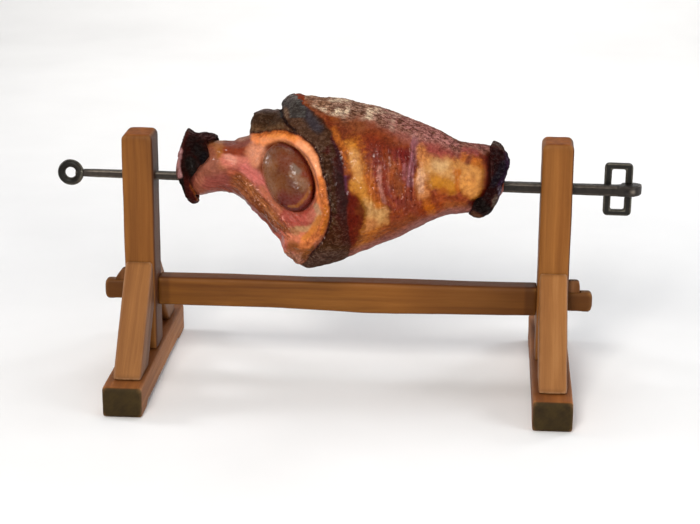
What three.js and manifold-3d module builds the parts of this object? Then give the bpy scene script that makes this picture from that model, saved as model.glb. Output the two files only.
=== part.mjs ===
// Ham holder stand: a trestle frame of squared timber carries a square iron
// spit, and a whole ham is driven onto the spit.  Millimetres, +Z up.
// Origin: centre of the footprint, on the ground.  X runs along the spit,
// -Y is the front of the stand.
import * as THREE from 'three';
import { mergeVertices } from 'three/addons/utils/BufferGeometryUtils.js';
import Module from 'manifold-3d';

const wasm = await Module();
wasm.setup();

// ---------------------------------------------------------------- dimensions
const GAP = 0.3;               // gap left between touching pieces
const POST_SPACING = 600;      // between the post centres
const POST_W = 45, POST_D = 55, POST_TOP = 368;
const FOOT_W = 55.5, FOOT_H = 44, FOOT_L = 380;
const RELIEF_H = 6, PAD_L = 46;           // hollow under the foot, end pads
const BRACE_W = 40, BRACE_TOP = 179;      // 45 degree braces
const BRACE_FRONT_RUN = 68, BRACE_REAR_RUN = 56;   // width of the cut on the foot
const RAIL_D = 33, RAIL_H = 43, RAIL_Y = 11, RAIL_Z = 127;
const TENON_D = 18, TENON_H = 30, TENON_Y = 8, TENON_END = 358.5;
const WEDGE_T = 10, WEDGE_W = 19, WEDGE_W_LOW = 13, WEDGE_SHOULDER = 145, WEDGE_TOP = 158.5;
const STUB_W = 24, STUB_D = 34, STUB_H = 26;        // tenon under each post
const DOWEL_R = 4, DOWEL_SEG = 16;
const SPIT_Z = 300.4, SPIT_TILT = 0.5 * Math.PI / 180;   // right end lower
const SPIT_HOLE_R = 11;
const BAR_LEFT = -383.3, BAR_A0 = 10.9, BAR_A1 = 15.6;   // tapered square bar
const RING_X = -402.3, RING_R = 13.5, RING_TUBE = 5.7;
const SHANK_R = 2.9, SHANK_HOLE_R = 3.3, SHANK_L = 20;
const EYE_X = 403.1, EYE_Y = 12.6, EYE_HOLE_R = 4.6, JOURNAL_R = 4.2;
const LINK_W = 40.3, LINK_H = 77.2, LINK_LEG = 10.4, LINK_BAR = 8.6, LINK_T = 9, LINK_Z = -1.5;
const EASE = 4.5;              // eased timber edges

// ---------------------------------------------------------------- materials
const wood = (hex) => new THREE.MeshStandardMaterial({ color: hex, roughness: 0.62, metalness: 0 });
const oakFoot = wood(0x7c4a26), oakPost = wood(0x8a5429), oakBrace = wood(0x93602f), oakRail = wood(0x7d4c22);
const oakWedge = wood(0x6f421f), oakDowel = wood(0x9a6c3c);
const iron = new THREE.MeshStandardMaterial({ color: 0x5a544c, roughness: 0.5, metalness: 0.85 });
const ironDark = new THREE.MeshStandardMaterial({ color: 0x4a453f, roughness: 0.55, metalness: 0.85 });
const meat = new THREE.MeshStandardMaterial({ color: 0x96451e, roughness: 0.35, metalness: 0 });
const char = new THREE.MeshStandardMaterial({ color: 0x23161a, roughness: 0.55, metalness: 0 });
const bone = new THREE.MeshStandardMaterial({ color: 0x5a3018, roughness: 0.2, metalness: 0 });

// ---------------------------------------------------------------- solids
// closed three.js geometry to a solid that can be joined and cut
function solid(g) {
  g = g.clone();
  for (const k of Object.keys(g.attributes)) if (k !== 'position') g.deleteAttribute(k);
  g = mergeVertices(g, 1e-4);
  const pos = g.attributes.position.array, idx = g.index.array, tri = [];
  for (let i = 0; i < idx.length; i += 3) {
    const [a, b, c] = [idx[i], idx[i + 1], idx[i + 2]];
    if (a !== b && b !== c && a !== c) tri.push(a, b, c);
  }
  return new wasm.Manifold(new wasm.Mesh({
    numProp: 3, vertProperties: new Float32Array(pos), triVerts: new Uint32Array(tri),
  }));
}
function geometry(m) {
  const mesh = m.getMesh(), g = new THREE.BufferGeometry();
  g.setAttribute('position', new THREE.BufferAttribute(new Float32Array(mesh.vertProperties), 3));
  g.setIndex(new THREE.BufferAttribute(new Uint32Array(mesh.triVerts), 1));
  g.computeVertexNormals();
  return g;
}
const box = (x0, x1, y0, y1, z0, z1) => {
  const g = new THREE.BoxGeometry(x1 - x0, y1 - y0, z1 - z0);
  g.translate((x0 + x1) / 2, (y0 + y1) / 2, (z0 + z1) / 2);
  return solid(g);
};
// cylinder between two points
function rod(a, b, r, seg) {
  const A = new THREE.Vector3(...a), B = new THREE.Vector3(...b), d = B.clone().sub(A);
  const g = new THREE.CylinderGeometry(r, r, d.length(), seg);
  g.rotateY(Math.PI / seg);
  g.applyQuaternion(new THREE.Quaternion().setFromUnitVectors(new THREE.Vector3(0, 1, 0), d.clone().normalize()));
  g.translate((A.x + B.x) / 2, (A.y + B.y) / 2, (A.z + B.z) / 2);
  return g;
}
// outline with rounded corners: pts are [x, y, radius]
function outline(pts, steps = 3) {
  const out = [], n = pts.length;
  for (let i = 0; i < n; i++) {
    const p = new THREE.Vector2(pts[i][0], pts[i][1]);
    const a = new THREE.Vector2(pts[(i + n - 1) % n][0], pts[(i + n - 1) % n][1]).sub(p).normalize();
    const b = new THREE.Vector2(pts[(i + 1) % n][0], pts[(i + 1) % n][1]).sub(p).normalize();
    const r = pts[i][2] || 0;
    if (r <= 0) { out.push(p); continue; }
    const half = Math.acos(THREE.MathUtils.clamp(a.dot(b), -1, 1)) / 2, t = r / Math.tan(half);
    const c = p.clone().add(a.clone().add(b).normalize().multiplyScalar(r / Math.sin(half)));
    const s = p.clone().add(a.clone().multiplyScalar(t)), e = p.clone().add(b.clone().multiplyScalar(t));
    const s0 = Math.atan2(s.y - c.y, s.x - c.x);
    let d = Math.atan2(e.y - c.y, e.x - c.x) - s0;
    while (d > Math.PI) d -= 2 * Math.PI;
    while (d < -Math.PI) d += 2 * Math.PI;
    for (let k = 0; k <= steps; k++) {
      const th = s0 + d * k / steps;
      out.push(new THREE.Vector2(c.x + r * Math.cos(th), c.y + r * Math.sin(th)));
    }
  }
  return out;
}
// extrude an outline by its full length, both end faces with eased edges
function timber(points, length, ease = EASE, holes = [], seg = 2) {
  const shape = new THREE.Shape(points);
  for (const h of holes) shape.holes.push(new THREE.Path(h));
  const g = new THREE.ExtrudeGeometry(shape, {
    depth: length - 2 * ease, steps: 1, curveSegments: 1,
    bevelEnabled: ease > 0, bevelThickness: ease, bevelSize: ease, bevelOffset: -ease, bevelSegments: seg,
  });
  g.translate(0, 0, ease - length / 2);
  return g;
}
// extruded sketches are drawn in the XY plane: turn them into place
const alongX = (g) => g.applyMatrix4(new THREE.Matrix4().set(0, 0, 1, 0, 1, 0, 0, 0, 0, 1, 0, 0, 0, 0, 0, 1)); // (y,z) sketch
const alongY = (g) => g.applyMatrix4(new THREE.Matrix4().set(1, 0, 0, 0, 0, 0, -1, 0, 0, 1, 0, 0, 0, 0, 0, 1)); // (x,z) sketch
// skin over a row of closed sections of equal point count, capped at the ends
function loft(sections) {
  const n = sections[0].length, v = [], t = [];
  for (const s of sections) for (const p of s) v.push(...p);
  const mid = (s) => s.reduce((q, p) => [q[0] + p[0] / n, q[1] + p[1] / n, q[2] + p[2] / n], [0, 0, 0]);
  const last = sections.length - 1;
  const c0 = v.length / 3; v.push(...mid(sections[0]));
  const c1 = v.length / 3; v.push(...mid(sections[last]));
  for (let i = 0; i < last; i++) for (let j = 0; j < n; j++) {
    const a = i * n + j, b = i * n + (j + 1) % n, c = a + n, d = b + n;
    t.push(a, b, c, b, d, c);
  }
  for (let j = 0; j < n; j++) {
    t.push(c0, (j + 1) % n, j);
    t.push(c1, last * n + j, last * n + (j + 1) % n);
  }
  const g = new THREE.BufferGeometry();
  g.setAttribute('position', new THREE.BufferAttribute(new Float32Array(v), 3));
  g.setIndex(t);
  return g;
}

// ---------------------------------------------------------------- assembly
const stand = new THREE.Group();
function add(parent, name, g, material) {
  if (!g.attributes.normal) g.computeVertexNormals();
  const m = new THREE.Mesh(g, material);
  m.name = name;
  parent.add(m);
  return m;
}

const frontY = -POST_D / 2, rearY = POST_D / 2;
const braceToe = POST_D / 2 + (BRACE_TOP - FOOT_H);    // 45 degrees
for (const [side, sx] of [['left', -1], ['right', 1]]) {
  const xc = sx * POST_SPACING / 2;
  const spitZ = SPIT_Z - xc * Math.tan(SPIT_TILT);
  // dowels: two per brace, one into the foot and one into the post
  const dowels = {
    front_foot: [[xc, -128, 24], [xc, -128, 64]],
    front_post: [[xc, -45, 157], [xc, -9, 157]],
    rear_foot: [[xc, 134, 24], [xc, 134, 60]],
    rear_post: [[xc, 45, 157], [xc, 9, 157]],
  };
  const hole = {};
  for (const [k, [a, b]] of Object.entries(dowels)) {
    const d = new THREE.Vector3(...b).sub(new THREE.Vector3(...a)).normalize().multiplyScalar(GAP + 0.1);
    const a2 = [a[0] - d.x, a[1] - d.y, a[2] - d.z], b2 = [b[0] + d.x, b[1] + d.y, b[2] + d.z];
    hole[k] = solid(rod(a2, b2, DOWEL_R + GAP, DOWEL_SEG));
    const g = rod(a, b, DOWEL_R, DOWEL_SEG);
    add(stand, `${side}_${k}_dowel`, g, oakDowel);
  }

  // foot: hollowed between its two end pads
  const h = FOOT_L / 2, p = h - PAD_L;
  const footOutline = outline([
    [-h, 0, 5.5], [-p, 0, 0], [-p + 7, RELIEF_H, 0], [p - 7, RELIEF_H, 0], [p, 0, 0], [h, 0, 5.5],
    [h, FOOT_H, 5.5], [-h, FOOT_H, 5.5]]);
  let foot = solid(alongX(timber(footOutline, FOOT_W, EASE)).translate(xc, 0, 0));
  foot = foot.subtract(box(xc - STUB_W / 2 - GAP, xc + STUB_W / 2 + GAP, -STUB_D / 2 - GAP, STUB_D / 2 + GAP,
    FOOT_H - STUB_H - GAP, FOOT_H + 10));
  foot = foot.subtract(hole.front_foot).subtract(hole.rear_foot);
  add(stand, `${side}_foot`, geometry(foot), oakFoot);

  // post: rounded head, round hole for the spit, mortise for the rail
  const postOutline = outline([
    [-POST_W / 2, FOOT_H - 12, 0], [POST_W / 2, FOOT_H - 12, 0],
    [POST_W / 2, POST_TOP, 9], [-POST_W / 2, POST_TOP, 9]], 4);
  let post = solid(alongY(timber(postOutline, POST_D, EASE)).translate(xc, 0, 0));
  post = post.subtract(box(xc - 60, xc + 60, -60, 60, 0, FOOT_H + GAP));
  post = post.add(box(xc - STUB_W / 2, xc + STUB_W / 2, -STUB_D / 2, STUB_D / 2, FOOT_H - STUB_H + 0.2, FOOT_H + 6));
  post = post.subtract(solid(rod([xc - 40, 0, spitZ], [xc + 40, 0, spitZ], SPIT_HOLE_R, 24)));
  post = post.subtract(box(xc - 40, xc + 40, TENON_Y - TENON_D / 2 - GAP, TENON_Y + TENON_D / 2 + GAP,
    RAIL_Z - TENON_H / 2 - GAP, RAIL_Z + TENON_H / 2 + GAP));
  post = post.subtract(hole.front_post).subtract(hole.rear_post);
  add(stand, `${side}_post`, geometry(post), oakPost);

  // braces: straight timbers at 45 degrees, cut to the post face and the foot top
  const brace = (s, run, drill) => {
    const y0 = POST_D / 2, e = 40;
    const strip = [[y0 - e, BRACE_TOP + e], [braceToe + e, FOOT_H - e],
      [braceToe - run + e, FOOT_H - e], [y0 - e, BRACE_TOP - run + e]];
    let m = solid(alongX(timber(strip.map(q => new THREE.Vector2(s * q[0], q[1])), BRACE_W, 4)).translate(xc - (sx < 0 ? 1.2 : 0), 0, 0));
    m = m.subtract(box(xc - 60, xc + 60, -400, 400, -100, FOOT_H + GAP));
    const yf = s * (y0 + GAP);
    m = m.subtract(box(xc - 60, xc + 60, Math.min(yf, -s * 300), Math.max(yf, -s * 300), -100, 400));
    return geometry(m.subtract(hole[drill[0]]).subtract(hole[drill[1]]));
  };
  add(stand, `${side}_front_brace`, brace(-1, BRACE_FRONT_RUN, ['front_foot', 'front_post']), oakBrace);
  add(stand, `${side}_rear_brace`, brace(1, BRACE_REAR_RUN, ['rear_foot', 'rear_post']), oakBrace);

  // tusk wedge dropped through the tenon against the outer face of the post
  const wx = xc + sx * (POST_W / 2 + GAP), zLow = RAIL_Z - TENON_H / 2 + 0.3;
  const w = outline([[wx, zLow, 0], [wx + sx * WEDGE_W_LOW, zLow, 2.2], [wx + sx * WEDGE_W, WEDGE_SHOULDER, 5],
    [wx + sx * 9, WEDGE_TOP, 4.5], [wx, WEDGE_TOP, 2.5]], 3);
  add(stand, `${side}_wedge`, geometry(solid(alongY(timber(w, WEDGE_T, 1.5)).translate(0, TENON_Y, 0))), oakWedge);
}

// rail: shouldered against both posts, a through tenon with a wedge slot at each end
{
  const L = POST_SPACING / 2 - POST_W / 2 - GAP;
  let rail = solid(timber(outline([
    [-RAIL_D / 2, -RAIL_H / 2, EASE], [RAIL_D / 2, -RAIL_H / 2, EASE],
    [RAIL_D / 2, RAIL_H / 2, EASE], [-RAIL_D / 2, RAIL_H / 2, EASE]]), 2 * L, 0)
    .applyMatrix4(new THREE.Matrix4().set(0, 0, 1, 0, 1, 0, 0, RAIL_Y, 0, 1, 0, RAIL_Z, 0, 0, 0, 1)));
  const t = outline([
    [-TENON_D / 2, -TENON_H / 2, 3.5], [TENON_D / 2, -TENON_H / 2, 3.5],
    [TENON_D / 2, TENON_H / 2, 3.5], [-TENON_D / 2, TENON_H / 2, 3.5]], 2);
  rail = rail.add(solid(timber(t, 2 * TENON_END, 3.4)
    .applyMatrix4(new THREE.Matrix4().set(0, 0, 1, 0, 1, 0, 0, TENON_Y, 0, 1, 0, RAIL_Z, 0, 0, 0, 1))));
  for (const sx of [-1, 1]) {
    const wx = sx * (POST_SPACING / 2 + POST_W / 2 + GAP), top = RAIL_Z + TENON_H / 2 + 5, low = RAIL_Z - TENON_H / 2 - 5;
    const at = (z) => WEDGE_W_LOW + (WEDGE_W - WEDGE_W_LOW) * (z - (RAIL_Z - TENON_H / 2)) / (WEDGE_SHOULDER - RAIL_Z + TENON_H / 2);
    const s = [[wx - sx * 0.8, low], [wx + sx * (at(low) + 0.45), low], [wx + sx * (at(top) + 0.45), top], [wx - sx * 0.8, top]];
    rail = rail.subtract(solid(alongY(timber((sx > 0 ? s : s.reverse()).map(q => new THREE.Vector2(...q)), WEDGE_T + 2 * GAP, 0))
      .translate(0, TENON_Y, 0)));
  }
  add(stand, 'stretcher_rail', geometry(rail), oakRail);
}

// ---------------------------------------------------------------- spit
// everything on the spit is laid out along the bar's own axis, then the group
// is set at the height of the post holes with its slight fall to the right
const spit = new THREE.Group();
spit.position.set(0, 0, SPIT_Z);
spit.rotation.y = SPIT_TILT;
stand.add(spit);

const barSide = (x) => BAR_A0 + (BAR_A1 - BAR_A0) * (x - BAR_LEFT) / (EYE_X - BAR_LEFT);
// square section with chamfered corners, 8 points
function squareSection(x, hy, hz, c) {
  return [[x, -hy, -hz + c], [x, -hy + c, -hz], [x, hy - c, -hz], [x, hy, -hz + c],
    [x, hy, hz - c], [x, hy - c, hz], [x, -hy + c, hz], [x, -hy, hz - c]];
}
function barLoft(grow, x0, x1) {
  const rows = [];
  for (const x of [x0, -200, 0, 200, x1]) {
    const a = barSide(x) / 2 + grow;
    rows.push(squareSection(x, a, a, 0.16 * barSide(x)));
  }
  return loft(rows);
}
{
  let bar = solid(barLoft(0, BAR_LEFT, 396));
  // right end rolled round the link's leg into a closed eye
  const a = barSide(395) / 2, pts = [[388, a], [388, -a], [EYE_X, -a - 0.1]];
  const rr = [[-90, EYE_Y + a + 0.1], [-45, 19.6], [0, 18.4], [45, 16.4], [90, 13.6], [135, 11.6], [180, 10.6]];
  for (let th = -75; th <= 180; th += 15) {
    let k = rr.findIndex(q => q[0] >= th); k = Math.max(k, 1);
    const u = (th - rr[k - 1][0]) / (rr[k][0] - rr[k - 1][0]), r = rr[k - 1][1] + u * (rr[k][1] - rr[k - 1][1]);
    pts.push([EYE_X + r * Math.cos(th * Math.PI / 180), EYE_Y + r * Math.sin(th * Math.PI / 180)]);
  }
  pts.push([391, a + 1.2]);
  bar = bar.add(solid(timber(pts.map(q => new THREE.Vector2(...q)), BAR_A1, 2.4)));
  bar = bar.subtract(solid(rod([EYE_X, EYE_Y, -20], [EYE_X, EYE_Y, 20], EYE_HOLE_R, 20)));
  // socket in the left end for the ring's shank
  bar = bar.subtract(solid(rod([BAR_LEFT - 5, 0, 0], [BAR_LEFT + SHANK_L + 1, 0, 0], SHANK_HOLE_R, 12)));
  add(spit, 'spit_bar', geometry(bar), iron);
}
{
  // ring at the left end, on a round shank that screws into the bar
  const t = new THREE.TorusGeometry(RING_R, RING_TUBE, 12, 30);
  t.rotateX(Math.PI / 2);
  t.translate(RING_X, 0, 0);
  let ring = solid(t);
  const neck = new THREE.CylinderGeometry(5.2, 6.3, 9, 16);
  neck.rotateZ(-Math.PI / 2);
  neck.translate(BAR_LEFT - GAP - 4.5, 0, 0);
  ring = ring.add(solid(neck));
  ring = ring.add(solid(rod([BAR_LEFT - 6, 0, 0], [BAR_LEFT + SHANK_L, 0, 0], SHANK_R, 12)));
  add(spit, 'ring_eye', geometry(ring), iron);
}
{
  // rectangular link, its right leg turned down to a round journal inside the eye
  const frame = (w, hh, r, n) => outline([[-w / 2, -hh / 2, r], [w / 2, -hh / 2, r], [w / 2, hh / 2, r], [-w / 2, hh / 2, r]], n);
  const cx = EYE_X + LINK_LEG / 2 - LINK_W / 2;
  const inner = frame(LINK_W - 2 * LINK_LEG, LINK_H - 2 * LINK_BAR, 3, 2).reverse();
  let link = solid(alongY(timber(frame(LINK_W, LINK_H, 6.5, 3), LINK_T, 2, [inner])).translate(cx, EYE_Y, LINK_Z));
  const half = BAR_A1 / 2 + 0.4;
  link = link.subtract(box(EYE_X - 6, EYE_X + 6, EYE_Y - 8, EYE_Y + 8, -half, half));
  link = link.add(solid(rod([EYE_X, EYE_Y, -half - 3], [EYE_X, EYE_Y, half + 3], JOURNAL_R, 20)));
  add(spit, 'handle_link', geometry(link), ironDark);
}

// ---------------------------------------------------------------- ham
// sections along the spit: [x, top, bottom, front, back], heights from the bar's axis
const HAM = [
  [-243, 36, -8, 18, 17], [-240, 42, -12, 22, 21], [-235, 46, -15, 26, 24], [-231, 46.5, -18, 27, 25], [-227, 46, -20, 27, 25], [-212, 52, -26, 32, 30], [-196, 56, -26, 35, 33], [-178, 57, -23, 37, 35],
  [-160, 58, -29, 41, 38], [-147, 62, -43, 46, 44], [-137, 76, -55, 51, 50], [-126, 92, -64, 56, 56],
  [-112, 100, -80, 62, 64], [-98, 110, -96, 68, 72], [-86, 122, -116, 74, 78], [-72, 127, -125, 80, 82],
  [-56, 128, -128, 84, 85], [-38, 123, -127, 87, 87], [-15, 119, -122, 88, 88], [10, 116, -114, 87, 86],
  [38, 111, -103, 84, 83], [66, 105, -90, 80, 78], [92, 96, -77, 73, 72], [116, 86, -63, 66, 65],
  [138, 77, -51, 58, 58], [156, 67, -44, 52, 52], [174, 64, -44, 48, 48], [190, 63, -43, 46, 46],
  [204, 61, -38, 43, 43], [214, 55, -28, 37, 37], [217, 48, -20, 30, 30]];
function oval(x, zt, zb, yf, yb, grow = 0, n = 28) {
  const zc = (zt + zb) / 2, hz = (zt - zb) / 2 + grow, s = [];
  for (let j = 0; j < n; j++) {
    const th = 2 * Math.PI * j / n, c = Math.cos(th), q = Math.sin(th);
    const k = 1 / Math.pow(Math.pow(Math.abs(c), 2.3) + Math.pow(Math.abs(q), 2.3), 1 / 2.3);
    // j runs from the front (-Y) down and round, so the skin faces outwards
    s.push([x, -(c > 0 ? yf + grow : yb + grow) * c * k, zc - hz * q * k]);
  }
  return s;
}
const hamAt = (x) => {
  let k = HAM.findIndex(h => h[0] >= x);
  if (k <= 0) k = k < 0 ? HAM.length - 1 : 1;
  const a = HAM[k - 1], b = HAM[k], u = (x - a[0]) / (b[0] - a[0]);
  return a.map((v, i) => v + u * (b[i] - v));
};
const hamSkin = (grow, rows) => solid(loft(rows.map(h => oval(h[0], h[1], h[2], h[3], h[4], grow))));
const boreCut = solid(barLoft(0.5, -260, 250));
// joint head of the thigh bone, seated in a pocket in the cut face
const headAt = new THREE.Vector3(-78.4, -59.6, 18.8);
function jointHead(grow) {
  const g = new THREE.SphereGeometry(1, 20, 14);
  g.scale(36.6 + grow, 21 + grow, 50.4 + grow);
  g.rotateY(-27 * Math.PI / 180);
  g.rotateZ(-17 * Math.PI / 180);
  g.rotateX(-17.3 * Math.PI / 180);
  g.translate(headAt.x, headAt.y, headAt.z);
  return solid(g);
}
// two knobs of meat above the cut face: half sizes along the spit, away from it and upwards
function knob(at, half) {
  const g = new THREE.SphereGeometry(1, 16, 12);
  g.scale(...half);
  g.rotateX(-17.3 * Math.PI / 180);
  g.translate(...at);
  return solid(g);
}
{
  let m = hamSkin(0, HAM).add(knob([-119.5, 26.4, 74.5], [22.5, 27, 20.5])).add(knob([-76, 30, 91], [25, 32, 27]));
  m = m.subtract(boreCut).subtract(jointHead(0.4));
  add(spit, 'ham_meat', geometry(m), meat);
  add(spit, 'ham_joint_head', geometry(jointHead(0)), bone);

  // charred skin turned back at the shank end: a flared, ragged collar
  const shank = [[-245, 46, -17, 30, 28], [-238, 63, -26, 38, 36], [-226, 72, -37, 44, 42], [-213, 70, -38, 44, 42],
    [-200, 66, -34, 42, 40], [-189, 61.5, -27, 39.5, 37.5]];
  const shankIn = [[-250, 40, -12, 25, 23], [-240, 50, -18, 30, 28], [-231, 50, -22, 31, 29]];
  let collar = hamSkin(0, shank);
  collar = collar.subtract(hamSkin(0, shankIn.concat(HAM.filter(h => h[0] > -230 && h[0] < -170)
    .map(h => [h[0], h[1] + 0.6, h[2] - 0.6, h[3] + 0.6, h[4] + 0.6]))));
  add(spit, 'ham_shank_skin', geometry(collar), char);

  const butt = [[188, 64.6, -45, 48, 48], [197, 66.5, -50, 50, 50], [207, 67, -46, 50, 50], [218, 64, -37, 46, 46],
    [226, 58, -22, 39, 39], [231.5, 47, -8, 28, 28]];
  const buttIn = HAM.filter(h => h[0] > 170 && h[0] < 215).map(h => [h[0], h[1] + 0.6, h[2] - 0.6, h[3] + 0.6, h[4] + 0.6])
    .concat([[218, 50, -22, 32, 32], [226, 42, -14, 26, 26], [236, 34, -9, 20, 20]]);
  let end = hamSkin(0, butt).subtract(hamSkin(0, buttIn));
  add(spit, 'ham_end_skin', geometry(end), char);
}

export default stand;
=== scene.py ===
import math
import bpy
import bmesh
import numpy as np
from mathutils import Matrix, Vector, noise


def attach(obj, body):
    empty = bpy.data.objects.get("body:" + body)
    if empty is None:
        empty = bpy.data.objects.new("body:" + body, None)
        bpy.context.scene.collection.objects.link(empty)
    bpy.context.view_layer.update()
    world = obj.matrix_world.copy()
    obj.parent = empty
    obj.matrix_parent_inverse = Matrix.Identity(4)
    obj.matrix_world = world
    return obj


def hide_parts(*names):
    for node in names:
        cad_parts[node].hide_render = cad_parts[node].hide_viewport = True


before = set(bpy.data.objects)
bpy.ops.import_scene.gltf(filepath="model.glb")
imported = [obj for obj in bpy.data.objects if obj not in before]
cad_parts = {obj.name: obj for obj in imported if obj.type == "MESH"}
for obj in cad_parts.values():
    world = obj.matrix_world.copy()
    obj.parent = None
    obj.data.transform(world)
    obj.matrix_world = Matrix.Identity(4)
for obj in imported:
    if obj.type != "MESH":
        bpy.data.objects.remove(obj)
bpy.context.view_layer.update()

MM = 0.001
SCENE = bpy.context.scene
COLL = SCENE.collection


# ------------------------------------------------------------------ camera
def make_camera():
    """Camera at the viewing angle of the reference: a little right of centre, looking down about 17 degrees."""
    cam_data = bpy.data.cameras.new("camera")
    cam_data.sensor_width = 36.0
    cam_data.lens = 96.77
    cam_data.clip_end = 50
    cam_data.dof.use_dof = False
    cam = bpy.data.objects.new("camera", cam_data)
    COLL.objects.link(cam)
    right = Vector((0.9972418, 0.07397802, 0.00600399))
    up = Vector((-0.02782079, 0.29758161, 0.95429093))
    back = Vector((0.06880988, -0.95182584, 0.29881895))
    loc = Vector((193.87, -2611.28, 998.78)) * MM
    cam.matrix_world = Matrix((
        (right.x, up.x, back.x, loc.x), (right.y, up.y, back.y, loc.y),
        (right.z, up.z, back.z, loc.z), (0, 0, 0, 1)))
    SCENE.camera = cam
    return cam


make_camera()


# ------------------------------------------------------------------ mesh helpers
def mesh_object(name, verts, faces):
    me = bpy.data.meshes.new(name)
    me.from_pydata([tuple(v) for v in verts], [], [tuple(f) for f in faces])
    me.validate()
    me.update()
    ob = bpy.data.objects.new(name, me)
    COLL.objects.link(ob)
    return ob


def coords(ob):
    co = np.empty(len(ob.data.vertices) * 3, np.float32)
    ob.data.vertices.foreach_get("co", co)
    return co.reshape(-1, 3).astype(float)


def set_coords(ob, co):
    ob.data.vertices.foreach_set("co", np.asarray(co, np.float32).ravel())
    ob.data.update()


def normals(ob):
    n = np.empty(len(ob.data.vertices) * 3, np.float32)
    ob.data.vertex_normals.foreach_get("vector", n)
    return n.reshape(-1, 3).astype(float)


def bake(ob):
    """Apply every modifier on the object to its own mesh."""
    dg = bpy.context.evaluated_depsgraph_get()
    me = bpy.data.meshes.new_from_object(ob.evaluated_get(dg))
    ob.modifiers.clear()
    old = ob.data
    ob.data = me
    me.name = ob.name
    bpy.data.meshes.remove(old)
    return ob


def remesh(ob, size, smooth_steps=2, factor=0.4):
    m = ob.modifiers.new("r", "REMESH")
    m.mode = "VOXEL"
    m.voxel_size = size
    m.adaptivity = 0
    if smooth_steps:
        s = ob.modifiers.new("s", "SMOOTH")
        s.factor = factor
        s.iterations = smooth_steps
    return bake(ob)


def edges_of(ob):
    e = np.empty(len(ob.data.edges) * 2, np.int32)
    ob.data.edges.foreach_get("vertices", e)
    return e.reshape(-1, 2)


def laplacian(values, e, n):
    """Mean of the neighbours minus the value, for any per-vertex array."""
    s = np.zeros((n,) + values.shape[1:])
    c = np.zeros(n)
    np.add.at(s, e[:, 0], values[e[:, 1]])
    np.add.at(s, e[:, 1], values[e[:, 0]])
    np.add.at(c, e[:, 0], 1)
    np.add.at(c, e[:, 1], 1)
    c = np.maximum(c, 1)
    return s / (c[:, None] if values.ndim > 1 else c) - values


def convexity(ob, size, rounds=3):
    """Per-vertex convexity: positive on ridges and edges, negative in creases."""
    co, e = coords(ob), edges_of(ob)
    n = len(co)
    k = -(laplacian(co, e, n) * normals(ob)).sum(1) / size
    for _ in range(rounds):
        k = k + 0.6 * laplacian(k, e, n)
    return k


def attribute(ob, name, values):
    values = np.asarray(values, np.float32)
    if values.ndim == 1:
        a = ob.data.attributes.new(name, "FLOAT", "POINT")
        a.data.foreach_set("value", values)
    elif values.shape[1] == 3:
        a = ob.data.attributes.new(name, "FLOAT_VECTOR", "POINT")
        a.data.foreach_set("vector", values.ravel())
    else:
        a = ob.data.color_attributes.new(name, "FLOAT_COLOR", "POINT")
        a.data.foreach_set("color", values.ravel())


def shade_smooth(ob):
    ob.data.polygons.foreach_set("use_smooth", [True] * len(ob.data.polygons))
    ob.data.update()


# smooth value noise in numpy, seeded and repeatable
def _hash(ix, iy, iz, seed):
    h = (ix.astype(np.int64) * 374761393 + iy.astype(np.int64) * 668265263 + iz.astype(np.int64) * 2147483647 + seed * 1274126177) & 0xFFFFFFFF
    h = ((h ^ (h >> 13)) * 1274126177) & 0xFFFFFFFF
    return ((h ^ (h >> 16)) & 0xFFFF) / 65535.0 * 2 - 1


def vnoise(p, seed=0):
    f = np.floor(p)
    i = f.astype(np.int64)
    t = p - f
    t = t * t * t * (t * (t * 6 - 15) + 10)
    out = 0
    for dx in (0, 1):
        for dy in (0, 1):
            for dz in (0, 1):
                w = (t[:, 0] if dx else 1 - t[:, 0]) * (t[:, 1] if dy else 1 - t[:, 1]) * (t[:, 2] if dz else 1 - t[:, 2])
                out = out + w * _hash(i[:, 0] + dx, i[:, 1] + dy, i[:, 2] + dz, seed)
    return out


def fbm(p, octaves=4, seed=0, gain=0.5):
    a, s, out = 1.0, 0.0, 0
    for k in range(octaves):
        out = out + a * vnoise(p * (2.03 ** k) + 17.3 * k, seed + k)
        s += a
        a *= gain
    return out / s


def smoothstep(a, b, x):
    t = np.clip((x - a) / (b - a), 0, 1)
    return t * t * (3 - 2 * t)


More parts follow.
